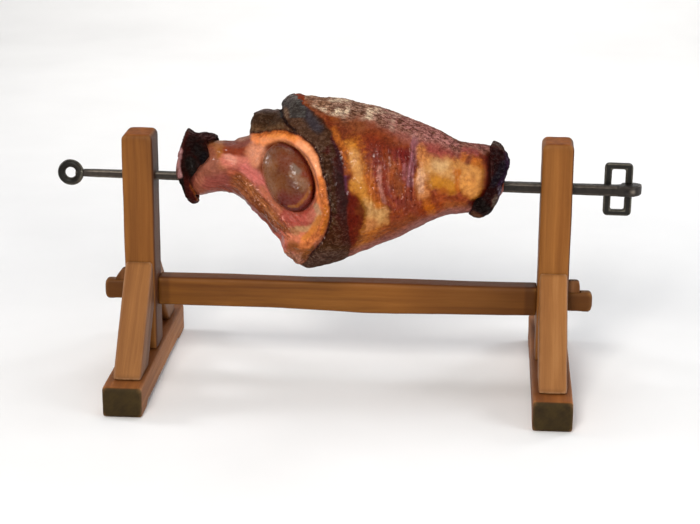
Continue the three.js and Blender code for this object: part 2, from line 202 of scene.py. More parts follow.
# ------------------------------------------------------------------ shader helpers
class Nodes:
    """Small builder for node materials."""

    def __init__(self, name):
        self.mat = bpy.data.materials.new(name)
        self.mat.use_nodes = True
        self.nt = self.mat.node_tree
        self.nt.nodes.clear()
        self.out = self.nt.nodes.new("ShaderNodeOutputMaterial")
        self.bsdf = self.nt.nodes.new("ShaderNodeBsdfPrincipled")
        self.nt.links.new(self.bsdf.outputs[0], self.out.inputs[0])

    def put(self, socket, value):
        if isinstance(value, bpy.types.NodeSocket):
            self.nt.links.new(value, socket)
        elif value is not None:
            if hasattr(socket.default_value, "__len__") and not hasattr(value, "__len__"):
                value = [value] * len(socket.default_value)
            if hasattr(value, "__len__") and len(value) == 3 and len(socket.default_value) == 4:
                value = list(value) + [1]
            socket.default_value = value

    def set(self, name, value):
        self.put(self.bsdf.inputs[name], value)

    def attr(self, name, kind="Fac"):
        n = self.nt.nodes.new("ShaderNodeAttribute")
        n.attribute_name = name
        return n.outputs[kind]

    def mapping(self, vec, scale=(1, 1, 1), loc=(0, 0, 0)):
        n = self.nt.nodes.new("ShaderNodeMapping")
        self.put(n.inputs["Vector"], vec)
        n.inputs["Scale"].default_value = scale
        n.inputs["Location"].default_value = loc
        return n.outputs[0]

    def noise(self, vec, scale=1.0, detail=4, rough=0.5, distort=0.0, out="Fac"):
        n = self.nt.nodes.new("ShaderNodeTexNoise")
        self.put(n.inputs["Vector"], vec)
        n.inputs["Scale"].default_value = scale
        n.inputs["Detail"].default_value = detail
        n.inputs["Roughness"].default_value = rough
        n.inputs["Distortion"].default_value = distort
        return n.outputs[out]

    def voronoi(self, vec, scale=1.0, feature="F1", out="Distance", rand=1.0):
        n = self.nt.nodes.new("ShaderNodeTexVoronoi")
        n.feature = feature
        self.put(n.inputs["Vector"], vec)
        n.inputs["Scale"].default_value = scale
        n.inputs["Randomness"].default_value = rand
        return n.outputs[out]

    def ramp(self, fac, stops, mode="LINEAR"):
        n = self.nt.nodes.new("ShaderNodeValToRGB")
        n.color_ramp.interpolation = mode
        el = n.color_ramp.elements
        while len(el) < len(stops):
            el.new(0.5)
        for e, (pos, col) in zip(el, stops):
            e.position = pos
            if not hasattr(col, "__len__"):
                col = (col, col, col)
            e.color = (*col[:3], 1)
        self.put(n.inputs[0], fac)
        return n.outputs[0]

    def math(self, op, a, b=None, c=None, clamp=False):
        n = self.nt.nodes.new("ShaderNodeMath")
        n.operation = op
        n.use_clamp = clamp
        self.put(n.inputs[0], a)
        if b is not None:
            self.put(n.inputs[1], b)
        if c is not None:
            self.put(n.inputs[2], c)
        return n.outputs[0]

    def vmath(self, op, a, b=None):
        n = self.nt.nodes.new("ShaderNodeVectorMath")
        n.operation = op
        self.put(n.inputs[0], a)
        if b is not None:
            self.put(n.inputs[1], b)
        return n.outputs["Value"] if op in ("LENGTH", "DOT_PRODUCT") else n.outputs[0]

    def mix(self, fac, a, b, blend="MIX"):
        n = self.nt.nodes.new("ShaderNodeMix")
        n.data_type = "RGBA"
        n.blend_type = blend
        n.clamp_factor = True
        self.put(n.inputs[0], fac)
        self.put(n.inputs[6], a)
        self.put(n.inputs[7], b)
        return n.outputs[2]

    def remap(self, v, a, b, c=0.0, d=1.0):
        n = self.nt.nodes.new("ShaderNodeMapRange")
        self.put(n.inputs["Value"], v)
        n.inputs["From Min"].default_value = a
        n.inputs["From Max"].default_value = b
        n.inputs["To Min"].default_value = c
        n.inputs["To Max"].default_value = d
        return n.outputs[0]

    def bump(self, height, strength=0.3, distance=0.001, normal=None):
        n = self.nt.nodes.new("ShaderNodeBump")
        n.inputs["Strength"].default_value = strength
        n.inputs["Distance"].default_value = distance
        self.put(n.inputs["Height"], height)
        if normal is not None:
            self.put(n.inputs["Normal"], normal)
        return n.outputs[0]


def srgb(r, g, b):
    return tuple((c / 255 / 12.92) if c / 255 <= 0.04045 else ((c / 255 + 0.055) / 1.055) ** 2.4 for c in (r, g, b))


# ------------------------------------------------------------------ materials: timber
def wood_material(name, base, dark, light, seed=0.0, grain_scale=1.0, end_dark=None, end_light=None,
                  rough=0.56, painted_light_tint=None, figure=1.0):
    """Oiled rustic hardwood.  Attribute 'grain' is the point in the piece's own axes, x along the fibre, in metres;
    'wear' is how far an edge is rubbed; 'endgrain' is 1 on the sawn ends."""
    m = Nodes(name)
    g = m.attr("grain", "Vector")
    wear = m.attr("wear")
    end = m.attr("endgrain")
    off = (seed * 3.1, seed * 1.7, seed * 2.3)
    # broad tone changes along the board
    broad = m.noise(m.mapping(g, (2.2, 14, 14), off), 1.0, 3, 0.55)
    # growth bands stretched along the fibre, gently waving
    warp = m.noise(m.mapping(g, (5, 22, 22), off), 1.0, 2, 0.5)
    warpv = m.vmath("SCALE", m.noise(m.mapping(g, (6, 20, 20), off), 1.0, 2, 0.5, out="Color"))
    bands_in = m.vmath("ADD", m.mapping(g, (1.6 * grain_scale, 95 * grain_scale, 95 * grain_scale), off), warpv)
    bands = m.noise(bands_in, 1.0, 5, 0.62)
    # fine fibres and pores
    fibre = m.noise(m.mapping(g, (22, 950, 950), off), 1.0, 3, 0.6)
    pores = m.voronoi(m.mapping(g, (60, 1500, 1500), off), 1.0)
    pore = m.remap(pores, 0.05, 0.22, 1.0, 0.0)
    t = m.math("ADD", m.math("MULTIPLY", bands, 0.50), m.math("MULTIPLY", broad, 0.50))
    col = m.ramp(t, [(0.36, dark), (0.50, base), (0.64, light)])
    # long dark streaks of the heartwood
    streak = m.noise(m.mapping(g, (2.4, 48, 48), (off[0] + 9, off[1], off[2])), 1.0, 4, 0.6)
    col = m.mix(m.remap(streak, 0.56, 0.70, 0.0, 0.42 * figure), col, [c * 0.72 for c in dark])
    col = m.mix(m.remap(fibre, 0.35, 0.75, 0.0, 0.30 * figure), col, [c * 0.62 for c in base])
    col = m.mix(m.math("MULTIPLY", pore, 0.16), col, [c * 0.35 for c in dark])
    # ruddy and golden drift
    drift = m.noise(m.mapping(g, (3.5, 9, 9), (off[0] + 5, off[1], off[2])), 1.0, 2, 0.5)
    col = m.mix(m.remap(drift, 0.45, 0.75, 0.0, 0.35), col, [base[0] * 1.16, base[1] * 1.02, base[2] * 0.75])
    # darker towards the ends, with painted shade in the inner corners where parts meet
    grime_and_shade = m.attr("grime_and_shade")
    col = m.mix(m.math("MULTIPLY", grime_and_shade, m.remap(broad, 0.2, 0.8, 0.9, 0.5)), col, [dark[0] * 0.52, dark[1] * 0.5, dark[2] * 0.32])
    # edges rubbed pale and slightly grey
    brk = m.noise(m.mapping(g, (70, 160, 160), off), 1.0, 4, 0.6)
    w = m.math("MULTIPLY", wear, m.remap(brk, 0.30, 0.62, 0.15, 1.0), clamp=True)
    col = m.mix(m.math("MULTIPLY", w, 0.62), col, [light[0] * 1.20, light[1] * 1.42, light[2] * 2.1])
    # end grain: rings round the pith, darker and matt
    if end_dark is None:
        end_dark, end_light = [c * 0.45 for c in base], [c * 0.75 for c in base]
    yz = m.vmath("MULTIPLY", m.vmath("ADD", g, (0, 0.021, 0.034)), (0, 1, 1))
    r = m.vmath("LENGTH", m.vmath("ADD", yz, m.vmath("MULTIPLY", m.noise(m.mapping(g, (0, 60, 60), off), 1.0, 3, 0.5, out="Color"), (0, 0.006, 0.006))))
    ring = m.math("SINE", m.math("MULTIPLY", r, 1300))
    ringn = m.math("MULTIPLY_ADD", ring, 0.018, m.noise(m.mapping(g, (40, 60, 60), off), 1.0, 4, 0.6))
    ecol = m.ramp(ringn, [(0.30, end_dark), (0.72, end_light)])
    ecol = m.mix(m.math("MULTIPLY", w, 0.55), ecol, [light[0] * 0.75, light[1] * 0.95, light[2] * 1.3])
    col = m.mix(end, col, ecol)
    # painted light and shade: the chosen faces of a piece are tinted lighter or darker, as light falls on them
    if painted_light_tint is not None:
        col = m.mix(m.attr("painted_light_face"), col, m.vmath("MULTIPLY", col, painted_light_tint))
    m.set("Base Color", col)
    rr = m.math("MULTIPLY_ADD", fibre, 0.16, rough - 0.08)
    rr = m.math("MULTIPLY_ADD", end, 0.16, rr)
    m.set("Roughness", rr)
    m.set("Specular IOR Level", 0.16)
    h = m.math("ADD", m.math("MULTIPLY", bands, 0.55), m.math("MULTIPLY", fibre, 0.45))
    h = m.math("MULTIPLY_ADD", pore, -0.35, h)
    h = m.math("MULTIPLY_ADD", m.math("MULTIPLY", end, ring), 0.012, h)
    h = m.math("MULTIPLY_ADD", m.math("MULTIPLY", m.attr("wear"), brk), -0.5, h)
    m.set("Normal", m.bump(h, 0.45, 0.0007))
    return m.mat


OLIVE_D, OLIVE_L = srgb(38, 26, 7), srgb(57, 43, 15)


# ------------------------------------------------------------------ pieces: timber
def sketch(pts, steps=5):
    """Outline with rounded corners: pts are (a, b, radius), in millimetres."""
    out, n = [], len(pts)
    for i in range(n):
        p = np.array(pts[i][:2], float)
        a = np.array(pts[i - 1][:2], float) - p
        b = np.array(pts[(i + 1) % n][:2], float) - p
        a /= np.linalg.norm(a)
        b /= np.linalg.norm(b)
        r = pts[i][2]
        if r <= 0:
            out.append(p)
            continue
        half = math.acos(max(-1, min(1, float(a @ b)))) / 2
        t = r / math.tan(half)
        c = p + (a + b) / np.linalg.norm(a + b) * r / math.sin(half)
        s, e = p + a * t, p + b * t
        s0 = math.atan2(s[1] - c[1], s[0] - c[0])
        d = math.atan2(e[1] - c[1], e[0] - c[0]) - s0
        d = (d + math.pi) % (2 * math.pi) - math.pi
        for k in range(steps + 1):
            out.append(c + r * np.array([math.cos(s0 + d * k / steps), math.sin(s0 + d * k / steps)]))
    return out


def extruded(name, pts, a0, a1, axis, ease=4.5, keep_flat=None, clamp=True):
    """Prism of an outline from a0 to a1 along axis ('X' or 'Y'), its long arrises eased by a bevel."""
    pts = [np.asarray(p, float) for p in pts]
    n = len(pts)
    place = (lambda p, t: (t, p[0], p[1])) if axis == "X" else (lambda p, t: (p[0], t, p[1]))
    if axis == "Z":
        place = lambda p, t: (p[0], p[1], t)
    verts = [place(p, a0) for p in pts] + [place(p, a1) for p in pts]
    faces = [tuple(range(n - 1, -1, -1)), tuple(range(n, 2 * n))]
    faces += [(i, (i + 1) % n, n + (i + 1) % n, n + i) for i in range(n)]
    bm = bmesh.new()
    vs = [bm.verts.new(np.array(v) * MM) for v in verts]
    for f in faces:
        bm.faces.new([vs[i] for i in f])
    bmesh.ops.recalc_face_normals(bm, faces=bm.faces)
    if ease:
        caps = [f for f in bm.faces if len(f.verts) == n]
        edges = set()
        for f in caps:
            for e in f.edges:
                if keep_flat is None or not all(keep_flat(v.co / MM) for v in e.verts):
                    edges.add(e)
        bmesh.ops.bevel(bm, geom=list(edges), offset=ease * MM, segments=4, profile=0.5, affect="EDGES", clamp_overlap=clamp)
    me = bpy.data.meshes.new(name)
    bm.to_mesh(me)
    bm.free()
    ob = bpy.data.objects.new(name, me)
    COLL.objects.link(ob)
    return ob


def cut(ob, tool, op="DIFFERENCE"):
    m = ob.modifiers.new("b", "BOOLEAN")
    m.operation = op
    m.solver = "EXACT"
    m.object = tool
    bake(ob)
    bpy.data.objects.remove(tool)
    return ob


def cutter_box(x0, x1, y0, y1, z0, z1):
    v = [(x, y, z) for x in (x0, x1) for y in (y0, y1) for z in (z0, z1)]
    f = [(0, 1, 3, 2), (4, 6, 7, 5), (0, 4, 5, 1), (2, 3, 7, 6), (0, 2, 6, 4), (1, 5, 7, 3)]
    return mesh_object("cutter", np.array(v) * MM, f)


def cutter_rod(x0, x1, y, z, r, seg=40):
    v, f = [], []
    for x in (x0, x1):
        for k in range(seg):
            th = 2 * math.pi * k / seg
            v.append((x, y + r * math.cos(th), z + r * math.sin(th)))
    f.append(tuple(range(seg)))
    f.append(tuple(range(2 * seg - 1, seg - 1, -1)))
    for k in range(seg):
        f.append((k, seg + k, seg + (k + 1) % seg, (k + 1) % seg))
    return mesh_object("cutter", np.array(v) * MM, f)


def peg(name, a, b, r, seg=40, chamfer=0.0, flute=0.0):
    """Round peg between two points, chamfered and fluted as cut dowels are; also used to bore its hole."""
    a, b = np.array(a, float), np.array(b, float)
    ax = (b - a) / np.linalg.norm(b - a)
    e1 = np.array([1.0, 0, 0])
    e2 = np.cross(ax, e1)
    L = np.linalg.norm(b - a)
    rows = [(0, r - chamfer), (chamfer, r), (L - chamfer, r), (L, r - chamfer)] if chamfer else [(0, r), (L, r)]
    v, f = [], []
    for t, q in rows:
        for k in range(seg):
            th = 2 * math.pi * k / seg
            g = q - flute * (0.5 + 0.5 * math.cos(10 * th)) ** 2
            v.append(a + ax * t + g * (math.cos(th) * e1 + math.sin(th) * e2))
    for i in range(len(rows) - 1):
        for k in range(seg):
            f.append((i * seg + k, i * seg + (k + 1) % seg, (i + 1) * seg + (k + 1) % seg, (i + 1) * seg + k))
    f.append(tuple(range(seg - 1, -1, -1)))
    f.append(tuple(range((len(rows) - 1) * seg, len(rows) * seg)))
    ob = mesh_object(name, np.array(v) * MM, f)
    bm = bmesh.new()
    bm.from_mesh(ob.data)
    bmesh.ops.recalc_face_normals(bm, faces=bm.faces)
    if bm.calc_volume(signed=True) < 0:
        bmesh.ops.reverse_faces(bm, faces=bm.faces)
    bm.to_mesh(ob.data)
    bm.free()
    return ob


def dowels(sx):
    """Where the pegs of one trestle run: two for each brace."""
    xc = sx * 300.0
    return {"front_foot": ((xc, -128, 24), (xc, -128, 64)), "front_post": ((xc, -45, 157), (xc, -9, 157)),
            "rear_foot": ((xc, 134, 24), (xc, 134, 60)), "rear_post": ((xc, 45, 157), (xc, 9, 157))}


def bore(ob, sx, keys):
    for k in keys:
        a, b = (np.array(q, float) for q in dowels(sx)[k])
        d = (b - a) / np.linalg.norm(b - a)
        cut(ob, peg("bore", a - d * 0.6, b + d * 0.6, 4.5, 24))


def build_dowel(side, sx, key):
    a, b = dowels(sx)[key]
    ob = peg(f"{side}_{key}_peg", a, b, 3.9, 60, 0.9, 0.28)
    co, nm = coords(ob) / MM, normals(ob)
    ax = np.array(b, float) - np.array(a)
    ax /= np.linalg.norm(ax)
    other = np.array([1.0, 0, 0])
    q = co - (np.array(a) + np.array(b)) / 2
    attribute(ob, "grain", np.stack([q @ ax, q @ other, q @ np.cross(ax, other)], 1) * MM + 0.11 * len(key))
    attribute(ob, "endgrain", smoothstep(0.8, 0.93, np.abs(nm @ ax)))
    for name in ("wear", "painted_light_face", "grime_and_shade"):
        attribute(ob, name, np.zeros(len(co)))
    ob.data.materials.clear()
    ob.data.materials.append(wood_dowel)
    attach(ob, "stand")
    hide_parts(f"{side}_{key}_dowel")
    return ob


def finish_timber(ob, body, node, axis, seed, material, voxel=2.4, hew=0.45, end_range=None, grime_and_shade=None, flat=None, warp=None,
                  painted_light_face=None):
    """Dense, slightly hewn and worn skin for a timber, with the attributes that its material reads."""
    remesh(ob, voxel * MM, 3, 0.35)
    co = coords(ob) / MM
    nm = normals(ob)
    k = convexity(ob, voxel * MM, 4)
    wear = smoothstep(0.035, 0.15, k)
    if warp is not None:
        co = co + warp(co)
    # axes: x along the fibre
    ax = np.asarray(axis, float)
    ax /= np.linalg.norm(ax)
    other = np.array([1.0, 0, 0]) if abs(ax[0]) < 0.5 else np.array([0, 1.0, 0])
    b = np.cross(ax, other)
    b /= np.linalg.norm(b)
    c = np.cross(b, ax)
    mid = (co.max(0) + co.min(0)) / 2
    g = np.stack([(co - mid) @ ax, (co - mid) @ c, (co - mid) @ b], 1)
    along = np.abs(nm @ ax)
    endg = smoothstep(0.80, 0.93, along)
    if end_range is not None:
        # the finish wraps round the eased rim of the end
        endg = smoothstep(end_range - 1.6, end_range + 0.8, np.abs(g[:, 0]))
    # hewn surface: long shallow facets, small dents on the arrises
    low = fbm(np.stack([g[:, 0] / 55, g[:, 1] / 22, g[:, 2] / 22], 1) + seed, 3, seed)
    dents = fbm(np.stack([g[:, 0] / 9, g[:, 1] / 7, g[:, 2] / 7], 1) + seed, 3, seed + 9)
    d = hew * low - wear * np.clip(dents - 0.05, 0, 1) * 1.5
    if flat is not None:
        d = d * flat(co)
    # keep the arrises inside the stock
    d = np.minimum(d, 0.35)
    set_coords(ob, (co + nm * d[:, None]) * MM)
    attribute(ob, "grain", g * MM + seed * 0.37)
    attribute(ob, "wear", wear)
    attribute(ob, "endgrain", endg)
    # faces that take the painted light or shade tint: by default those turned towards +X
    attribute(ob, "painted_light_face", smoothstep(0.55, 0.85, nm[:, 0]) if painted_light_face is None else painted_light_face(co, nm))
    attribute(ob, "grime_and_shade", np.zeros(len(co)) if grime_and_shade is None else grime_and_shade(co, nm))
    ob.data.materials.clear()
    ob.data.materials.append(material)
    shade_smooth(ob)
    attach(ob, body)
    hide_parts(node)
    return ob


# ------------------------------------------------------------------ dimensions shared with the CAD (millimetres)
POST_X, POST_W, POST_D, POST_TOP = 300.0, 45.0, 55.0, 368.0
FOOT_W, FOOT_H, FOOT_L, PAD_L, RELIEF_H = 55.5, 44.0, 380.0, 46.0, 6.0
BRACE_W, BRACE_TOP, RUN_F, RUN_R = 40.0, 179.0, 68.0, 56.0
RAIL_Y, RAIL_Z, TEN_Y = 11.0, 127.0, 8.0
SPIT_Z, TILT = 300.4, math.radians(0.5)

# each timber's last tint is painted light and shade on its chosen faces: the foot's sides lighter, the post's and
# braces' sides darker and bluer, the rail's top darker
wood_foot = wood_material("foot timber", srgb(128, 74, 30), srgb(98, 52, 20), srgb(158, 100, 50), seed=1.3,
                          end_dark=OLIVE_D, end_light=OLIVE_L, rough=0.58, painted_light_tint=(1.25, 1.48, 2.1))
wood_post = wood_material("post timber", srgb(122, 73, 26), srgb(94, 53, 17), srgb(142, 90, 38), seed=2.7, end_dark=srgb(102, 50, 9), end_light=srgb(142, 79, 23), painted_light_tint=(0.38, 0.34, 0.54), figure=0.8)
wood_brace = wood_material("brace timber", srgb(143, 94, 49), srgb(115, 70, 34), srgb(163, 113, 65), seed=4.1, grain_scale=1.15, figure=0.4, painted_light_tint=(0.72, 0.80, 1.3))
wood_rail = wood_material("rail timber", srgb(120, 73, 24), srgb(92, 51, 15), srgb(142, 91, 38), seed=5.9, painted_light_tint=(0.66, 0.54, 0.46))
wood_wedge = wood_material("wedge timber", srgb(98, 58, 24), srgb(74, 42, 18), srgb(126, 82, 48), seed=7.2)
wood_dowel = wood_material("dowel timber", srgb(160, 112, 62), srgb(132, 86, 44), srgb(180, 132, 80), seed=8.4)


def build_foot(side, sx):
    xc, h, p = sx * POST_X, FOOT_L / 2, FOOT_L / 2 - PAD_L
    pts = sketch([(-h, 0, 5.5), (-p, 0, 0), (-p + 7, RELIEF_H, 2), (p - 7, RELIEF_H, 2), (p, 0, 0), (h, 0, 5.5),
                  (h, FOOT_H, 6), (-h, FOOT_H, 6)])
    ob = extruded(side + "_foot_beam", pts, xc - FOOT_W / 2, xc + FOOT_W / 2, "X", ease=4.8)
    cut(ob, cutter_box(xc - 12.3, xc + 12.3, -17.3, 17.3, FOOT_H - 26.3, FOOT_H + 9))
    bore(ob, sx, ("front_foot", "rear_foot"))

    # painted shade on the top face round the seats of the post and braces, and darker towards the bottom
    def grime_and_shade(co, nm):
        y, z = np.abs(co[:, 1]), co[:, 2]
        seat = smoothstep(168, 160, y) * (nm[:, 2] > 0.6) * 0.35
        return np.clip(seat + smoothstep(10, 0, z) * 0.5, 0, 1)
    return finish_timber(ob, "stand", side + "_foot", (0, 1, 0), 11 + sx, wood_foot,
                         grime_and_shade=grime_and_shade, end_range=FOOT_L / 2 - 3.2, flat=lambda co: smoothstep(-0.5, 6, np.abs(co[:, 2] - 0) - 0.4))


def build_post(side, sx):
    xc = sx * POST_X
    z0 = FOOT_H + 0.3
    pts = sketch([(xc - POST_W / 2, z0, 0), (xc + POST_W / 2, z0, 0), (xc + POST_W / 2, POST_TOP, 8.5), (xc - POST_W / 2, POST_TOP, 8.5)], 7)
    ob = extruded(side + "_post_timber", pts, -POST_D / 2, POST_D / 2, "Y", ease=5.0, keep_flat=lambda v: v.z < z0 + 0.5)
    zs = SPIT_Z - xc * math.tan(TILT)
    cut(ob, cutter_rod(xc - 40, xc + 40, 0, zs, 11.0, 48))
    cut(ob, cutter_box(xc - 40, xc + 40, TEN_Y - 9.3, TEN_Y + 9.3, RAIL_Z - 15.3, RAIL_Z + 15.3))
    bore(ob, sx, ("front_post", "rear_post"))

    # soot round the spit bore on the side faces; painted shade at the post's foot where it meets the foot beam; a
    # little darker at the top, and the left post darker overall
    def grime_and_shade(co, nm):
        z = co[:, 2]
        r = np.hypot(co[:, 1], z - zs)
        soot = smoothstep(26, 12, r) * (np.abs(nm[:, 0]) > 0.4) * 0.9
        return np.clip(soot + smoothstep(60, 46, z) * 0.4 + smoothstep(350, 368, z) * 0.15 + (0.10 if sx < 0 else 0), 0, 1)
    return finish_timber(ob, "stand", side + "_post", (0, 0, 1), 21 + sx, wood_post, grime_and_shade=grime_and_shade)


def build_brace(side, sx, s, run, node):
    xc, y0, toe = sx * POST_X - (1.2 if sx < 0 else 0.0), POST_D / 2, POST_D / 2 + (BRACE_TOP - FOOT_H)
    e = 40
    pts = [(s * (y0 - e), BRACE_TOP + e), (s * (toe + e), FOOT_H - e), (s * (toe - run + e), FOOT_H - e), (s * (y0 - e), BRACE_TOP - run + e)]
    ob = extruded(node + "_timber", pts, xc - BRACE_W / 2, xc + BRACE_W / 2, "X", ease=4.0)
    cut(ob, cutter_box(xc - 60, xc + 60, -400, 400, -100, FOOT_H + 0.35))
    ya, yb = sorted((s * (y0 + 0.35), -s * 300))
    cut(ob, cutter_box(xc - 60, xc + 60, ya, yb, -100, 400))
    bore(ob, sx, ("front_foot", "front_post") if s < 0 else ("rear_foot", "rear_post"))

    # painted shade where the brace meets the foot and the post; the left braces also darker towards the bottom
    def grime_and_shade(co, nm):
        seat = smoothstep(9, 0, co[:, 2] - FOOT_H) + smoothstep(7, 0, np.abs(co[:, 1]) - y0)
        return np.clip(np.clip(seat, 0, 1) * 0.9 + (0.16 * smoothstep(150, 80, co[:, 2]) if sx < 0 else 0), 0, 1)

    def warp(co):
        # each brace was fitted by hand: a little taller on its post, the left front one a little askew on its foot
        up = (co[:, 2] - FOOT_H) / (BRACE_TOP - FOOT_H)
        skew = (3.0 * (1 - up) + 0.2) if sx < 0 and s < 0 else 0 * up
        return np.stack([skew, 0 * up, np.clip(up, 0, 1) * (2.8 if sx < 0 else 1.8)], 1)
    return finish_timber(ob, "stand", node, (0, s * 0.7071, -0.7071), 31 + sx * 2 + s, wood_brace,
                         voxel=2.2, grime_and_shade=grime_and_shade, warp=warp)


def build_rail():
    L, end = POST_X - POST_W / 2 - 0.3, 358.5
    pts = sketch([(RAIL_Y - 16.5, RAIL_Z - 21.5, 5), (RAIL_Y + 16.5, RAIL_Z - 21.5, 5), (RAIL_Y + 16.5, RAIL_Z + 21.5, 5), (RAIL_Y - 16.5, RAIL_Z + 21.5, 5)])
    ob = extruded("stretcher_rail_timber", pts, -L, L, "X", ease=0)
    t = sketch([(TEN_Y - 9, RAIL_Z - 15, 4.5), (TEN_Y + 9, RAIL_Z - 15, 4.5), (TEN_Y + 9, RAIL_Z + 15, 4.5), (TEN_Y - 9, RAIL_Z + 15, 4.5)])
    ten = extruded("tenon", t, -end, end, "X", ease=6.8)
    cut(ob, ten, "UNION")
    for sx in (-1, 1):
        wx = sx * (POST_X + POST_W / 2 + 0.3)
        a, b = sorted((wx - sx * 0.8, wx + sx * 19.2))
        cut(ob, cutter_box(a, b, TEN_Y - 5.3, TEN_Y + 5.3, RAIL_Z - 20, RAIL_Z + 20))

    # darker towards the ends and right of the middle, much darker over the last stretch before each post and on the
    # tenons
    def grime_and_shade(co, nm):
        x = np.abs(co[:, 0])
        ends = 0.25 * smoothstep(60, 250, x) + 0.55 * smoothstep(258, 264, x) + 0.35 * smoothstep(60, 130, co[:, 0])
        return np.clip(ends * (x < 278) + 0.85 * (x > 278), 0, 1)

    def warp(co):
        # the underside is hewn a little deeper right of the middle
        dz = np.interp(co[:, 0], [-277, -95, -20, 25, 75, 140, 230, 277], [0, 0, -2.4, -4.2, -3.8, -2.3, -1.2, -0.4])
        low = np.clip((RAIL_Z + 21.5 - co[:, 2]) / 43, 0, 1) * (np.abs(co[:, 0]) < 277)
        # the tenons' ends are rounded over
        half = np.array([9.0, 15.0])
        t = np.clip(end - np.abs(co[:, 0]), 0, None)
        pull = []
        for i, r in ((0, 4.0), (1, 6.5)):
            inset = np.where(t < r, r - np.sqrt(np.clip(r * r - (r - t) ** 2, 0, None)), 0)
            pull.append(-(co[:, 1 + i] - (TEN_Y, RAIL_Z)[i]) * inset / half[i])
        top = np.interp(co[:, 0], [-277, -180, -60, 60, 180, 277], [0, 0.5, -0.4, 0.3, -0.5, 0]) * (1 - low) * (np.abs(co[:, 0]) < 277)
        return np.stack([co[:, 0] * 0, pull[0], dz * low + top + pull[1]], 1)
    # the rail's top faces take the painted shade tint
    return finish_timber(ob, "stand", "stretcher_rail", (1, 0, 0), 41, wood_rail, voxel=2.2, grime_and_shade=grime_and_shade, warp=warp,
                         painted_light_face=lambda co, nm: smoothstep(0.6, 0.9, nm[:, 2]) * (np.abs(co[:, 0]) < 277))


def build_wedge(side, sx):
    wx, z0, z1, z2 = sx * (POST_X + POST_W / 2 + 0.3), RAIL_Z - 15 + 0.3, 145.0, 158.5
    pts = [(wx, z0, 0.8), (wx + sx * 13, z0, 2.2), (wx + sx * 19, z1, 5), (wx + sx * 9, z2, 4.5), (wx, z2, 2.5)]
    if sx > 0:
        pts = [(wx, z0, 0.8), (wx + 13, z0, 2.2), (wx + 17.5, z1, 3), (wx + 16, z2, 4.5), (wx, z2, 2.5)]
    if sx < 0:
        pts = pts[::-1]
    ob = extruded(side + "_tusk_wedge", sketch(pts), TEN_Y - 5, TEN_Y + 5, "Y", ease=1.7)
    return finish_timber(ob, "stand", side + "_wedge", (0, 0, 1), 51 + sx, wood_wedge, voxel=0.9, hew=0.2)


for side, sx in (("left", -1), ("right", 1)):
    build_foot(side, sx)
    build_post(side, sx)
    build_brace(side, sx, -1, RUN_F, side + "_front_brace")
    build_brace(side, sx, 1, RUN_R, side + "_rear_brace")
    build_wedge(side, sx)
    for key in dowels(sx):
        build_dowel(side, sx, key)
build_rail()


# ------------------------------------------------------------------ material: forged iron
def iron_material(name, base, dark, bright, seed=0.0, rough=0.48):
    """Black-scaled forged iron with rubbed arrises.  'wear' is how far an edge is rubbed, with painted highlights on
    bevels and rims; the tone attribute scales the colour and carries painted light and shade.
    """
    m = Nodes(name)
    p = m.attr("ipos", "Vector")
    wear = m.attr("wear")
    big = m.noise(m.mapping(p, (18, 45, 45), (seed, 0, 0)), 1.0, 4, 0.6)
    mid = m.noise(m.mapping(p, (150, 220, 220), (seed, 1, 2)), 1.0, 5, 0.65)
    speck = m.noise(m.mapping(p, (900, 1100, 1100), (seed, 4, 2)), 1.0, 3, 0.7)
    pit = m.remap(m.voronoi(m.mapping(p, (420, 520, 520), (seed, 3, 1)), 1.0), 0.08, 0.3, 1.0, 0.0)
    t = m.math("ADD", m.math("MULTIPLY", big, 0.5), m.math("MULTIPLY", mid, 0.5))
    col = m.ramp(t, [(0.30, dark), (0.52, base), (0.74, [c * 1.25 for c in base])])
    rust = m.remap(m.noise(m.mapping(p, (60, 110, 110), (seed, 7, 7)), 1.0, 4, 0.6), 0.55, 0.72, 0.0, 0.45)
    col = m.mix(rust, col, srgb(66, 46, 34))
    col = m.mix(m.math("MULTIPLY", pit, 0.4), col, [c * 0.5 for c in dark])
    # rubbed arrises and painted highlights, in the bright colour
    w = m.math("MULTIPLY", wear, m.remap(mid, 0.30, 0.60, 0.35, 1.0), clamp=True)
    col = m.mix(m.math("MULTIPLY", w, 0.75), col, bright)
    # the iron's own darkness, with painted light and shade laid in it
    tone_and_light = m.attr("tone_and_light")
    col = m.mix(1.0, col, m.ramp(m.math("MULTIPLY", tone_and_light, 0.5), [(0.0, (0, 0, 0)), (1.0, (1, 1, 1))]), "MULTIPLY")
    m.set("Base Color", col)
    m.set("Metallic", m.math("MULTIPLY_ADD", w, 0.4, 0.42))
    r = m.math("MULTIPLY_ADD", speck, 0.22, rough - 0.10)
    r = m.math("MULTIPLY_ADD", w, -0.12, r)
    m.set("Roughness", r)
    m.set("Specular IOR Level", 0.3)
    h = m.math("ADD", m.math("MULTIPLY", mid, 0.6), m.math("MULTIPLY", speck, 0.25))
    h = m.math("MULTIPLY_ADD", pit, -0.35, h)
    m.set("Normal", m.bump(h, 0.5, 0.0006))
    return m.mat


iron_bar = iron_material("forged iron", srgb(64, 56, 49), srgb(36, 31, 27), srgb(150, 138, 124), seed=0.4)
iron_link = iron_material("link iron", srgb(41, 38, 31), srgb(24, 22, 17), srgb(152, 144, 128), seed=3.4, rough=0.46)

SPIT = Matrix.Translation((0, 0, SPIT_Z * MM)) @ Matrix.Rotation(TILT, 4, "Y")
BAR_LEFT, EYE_X, EYE_Y = -383.3, 403.1, 12.6


def bar_side(x):
    return 10.9 + (15.6 - 10.9) * (x - BAR_LEFT) / (EYE_X - BAR_LEFT)


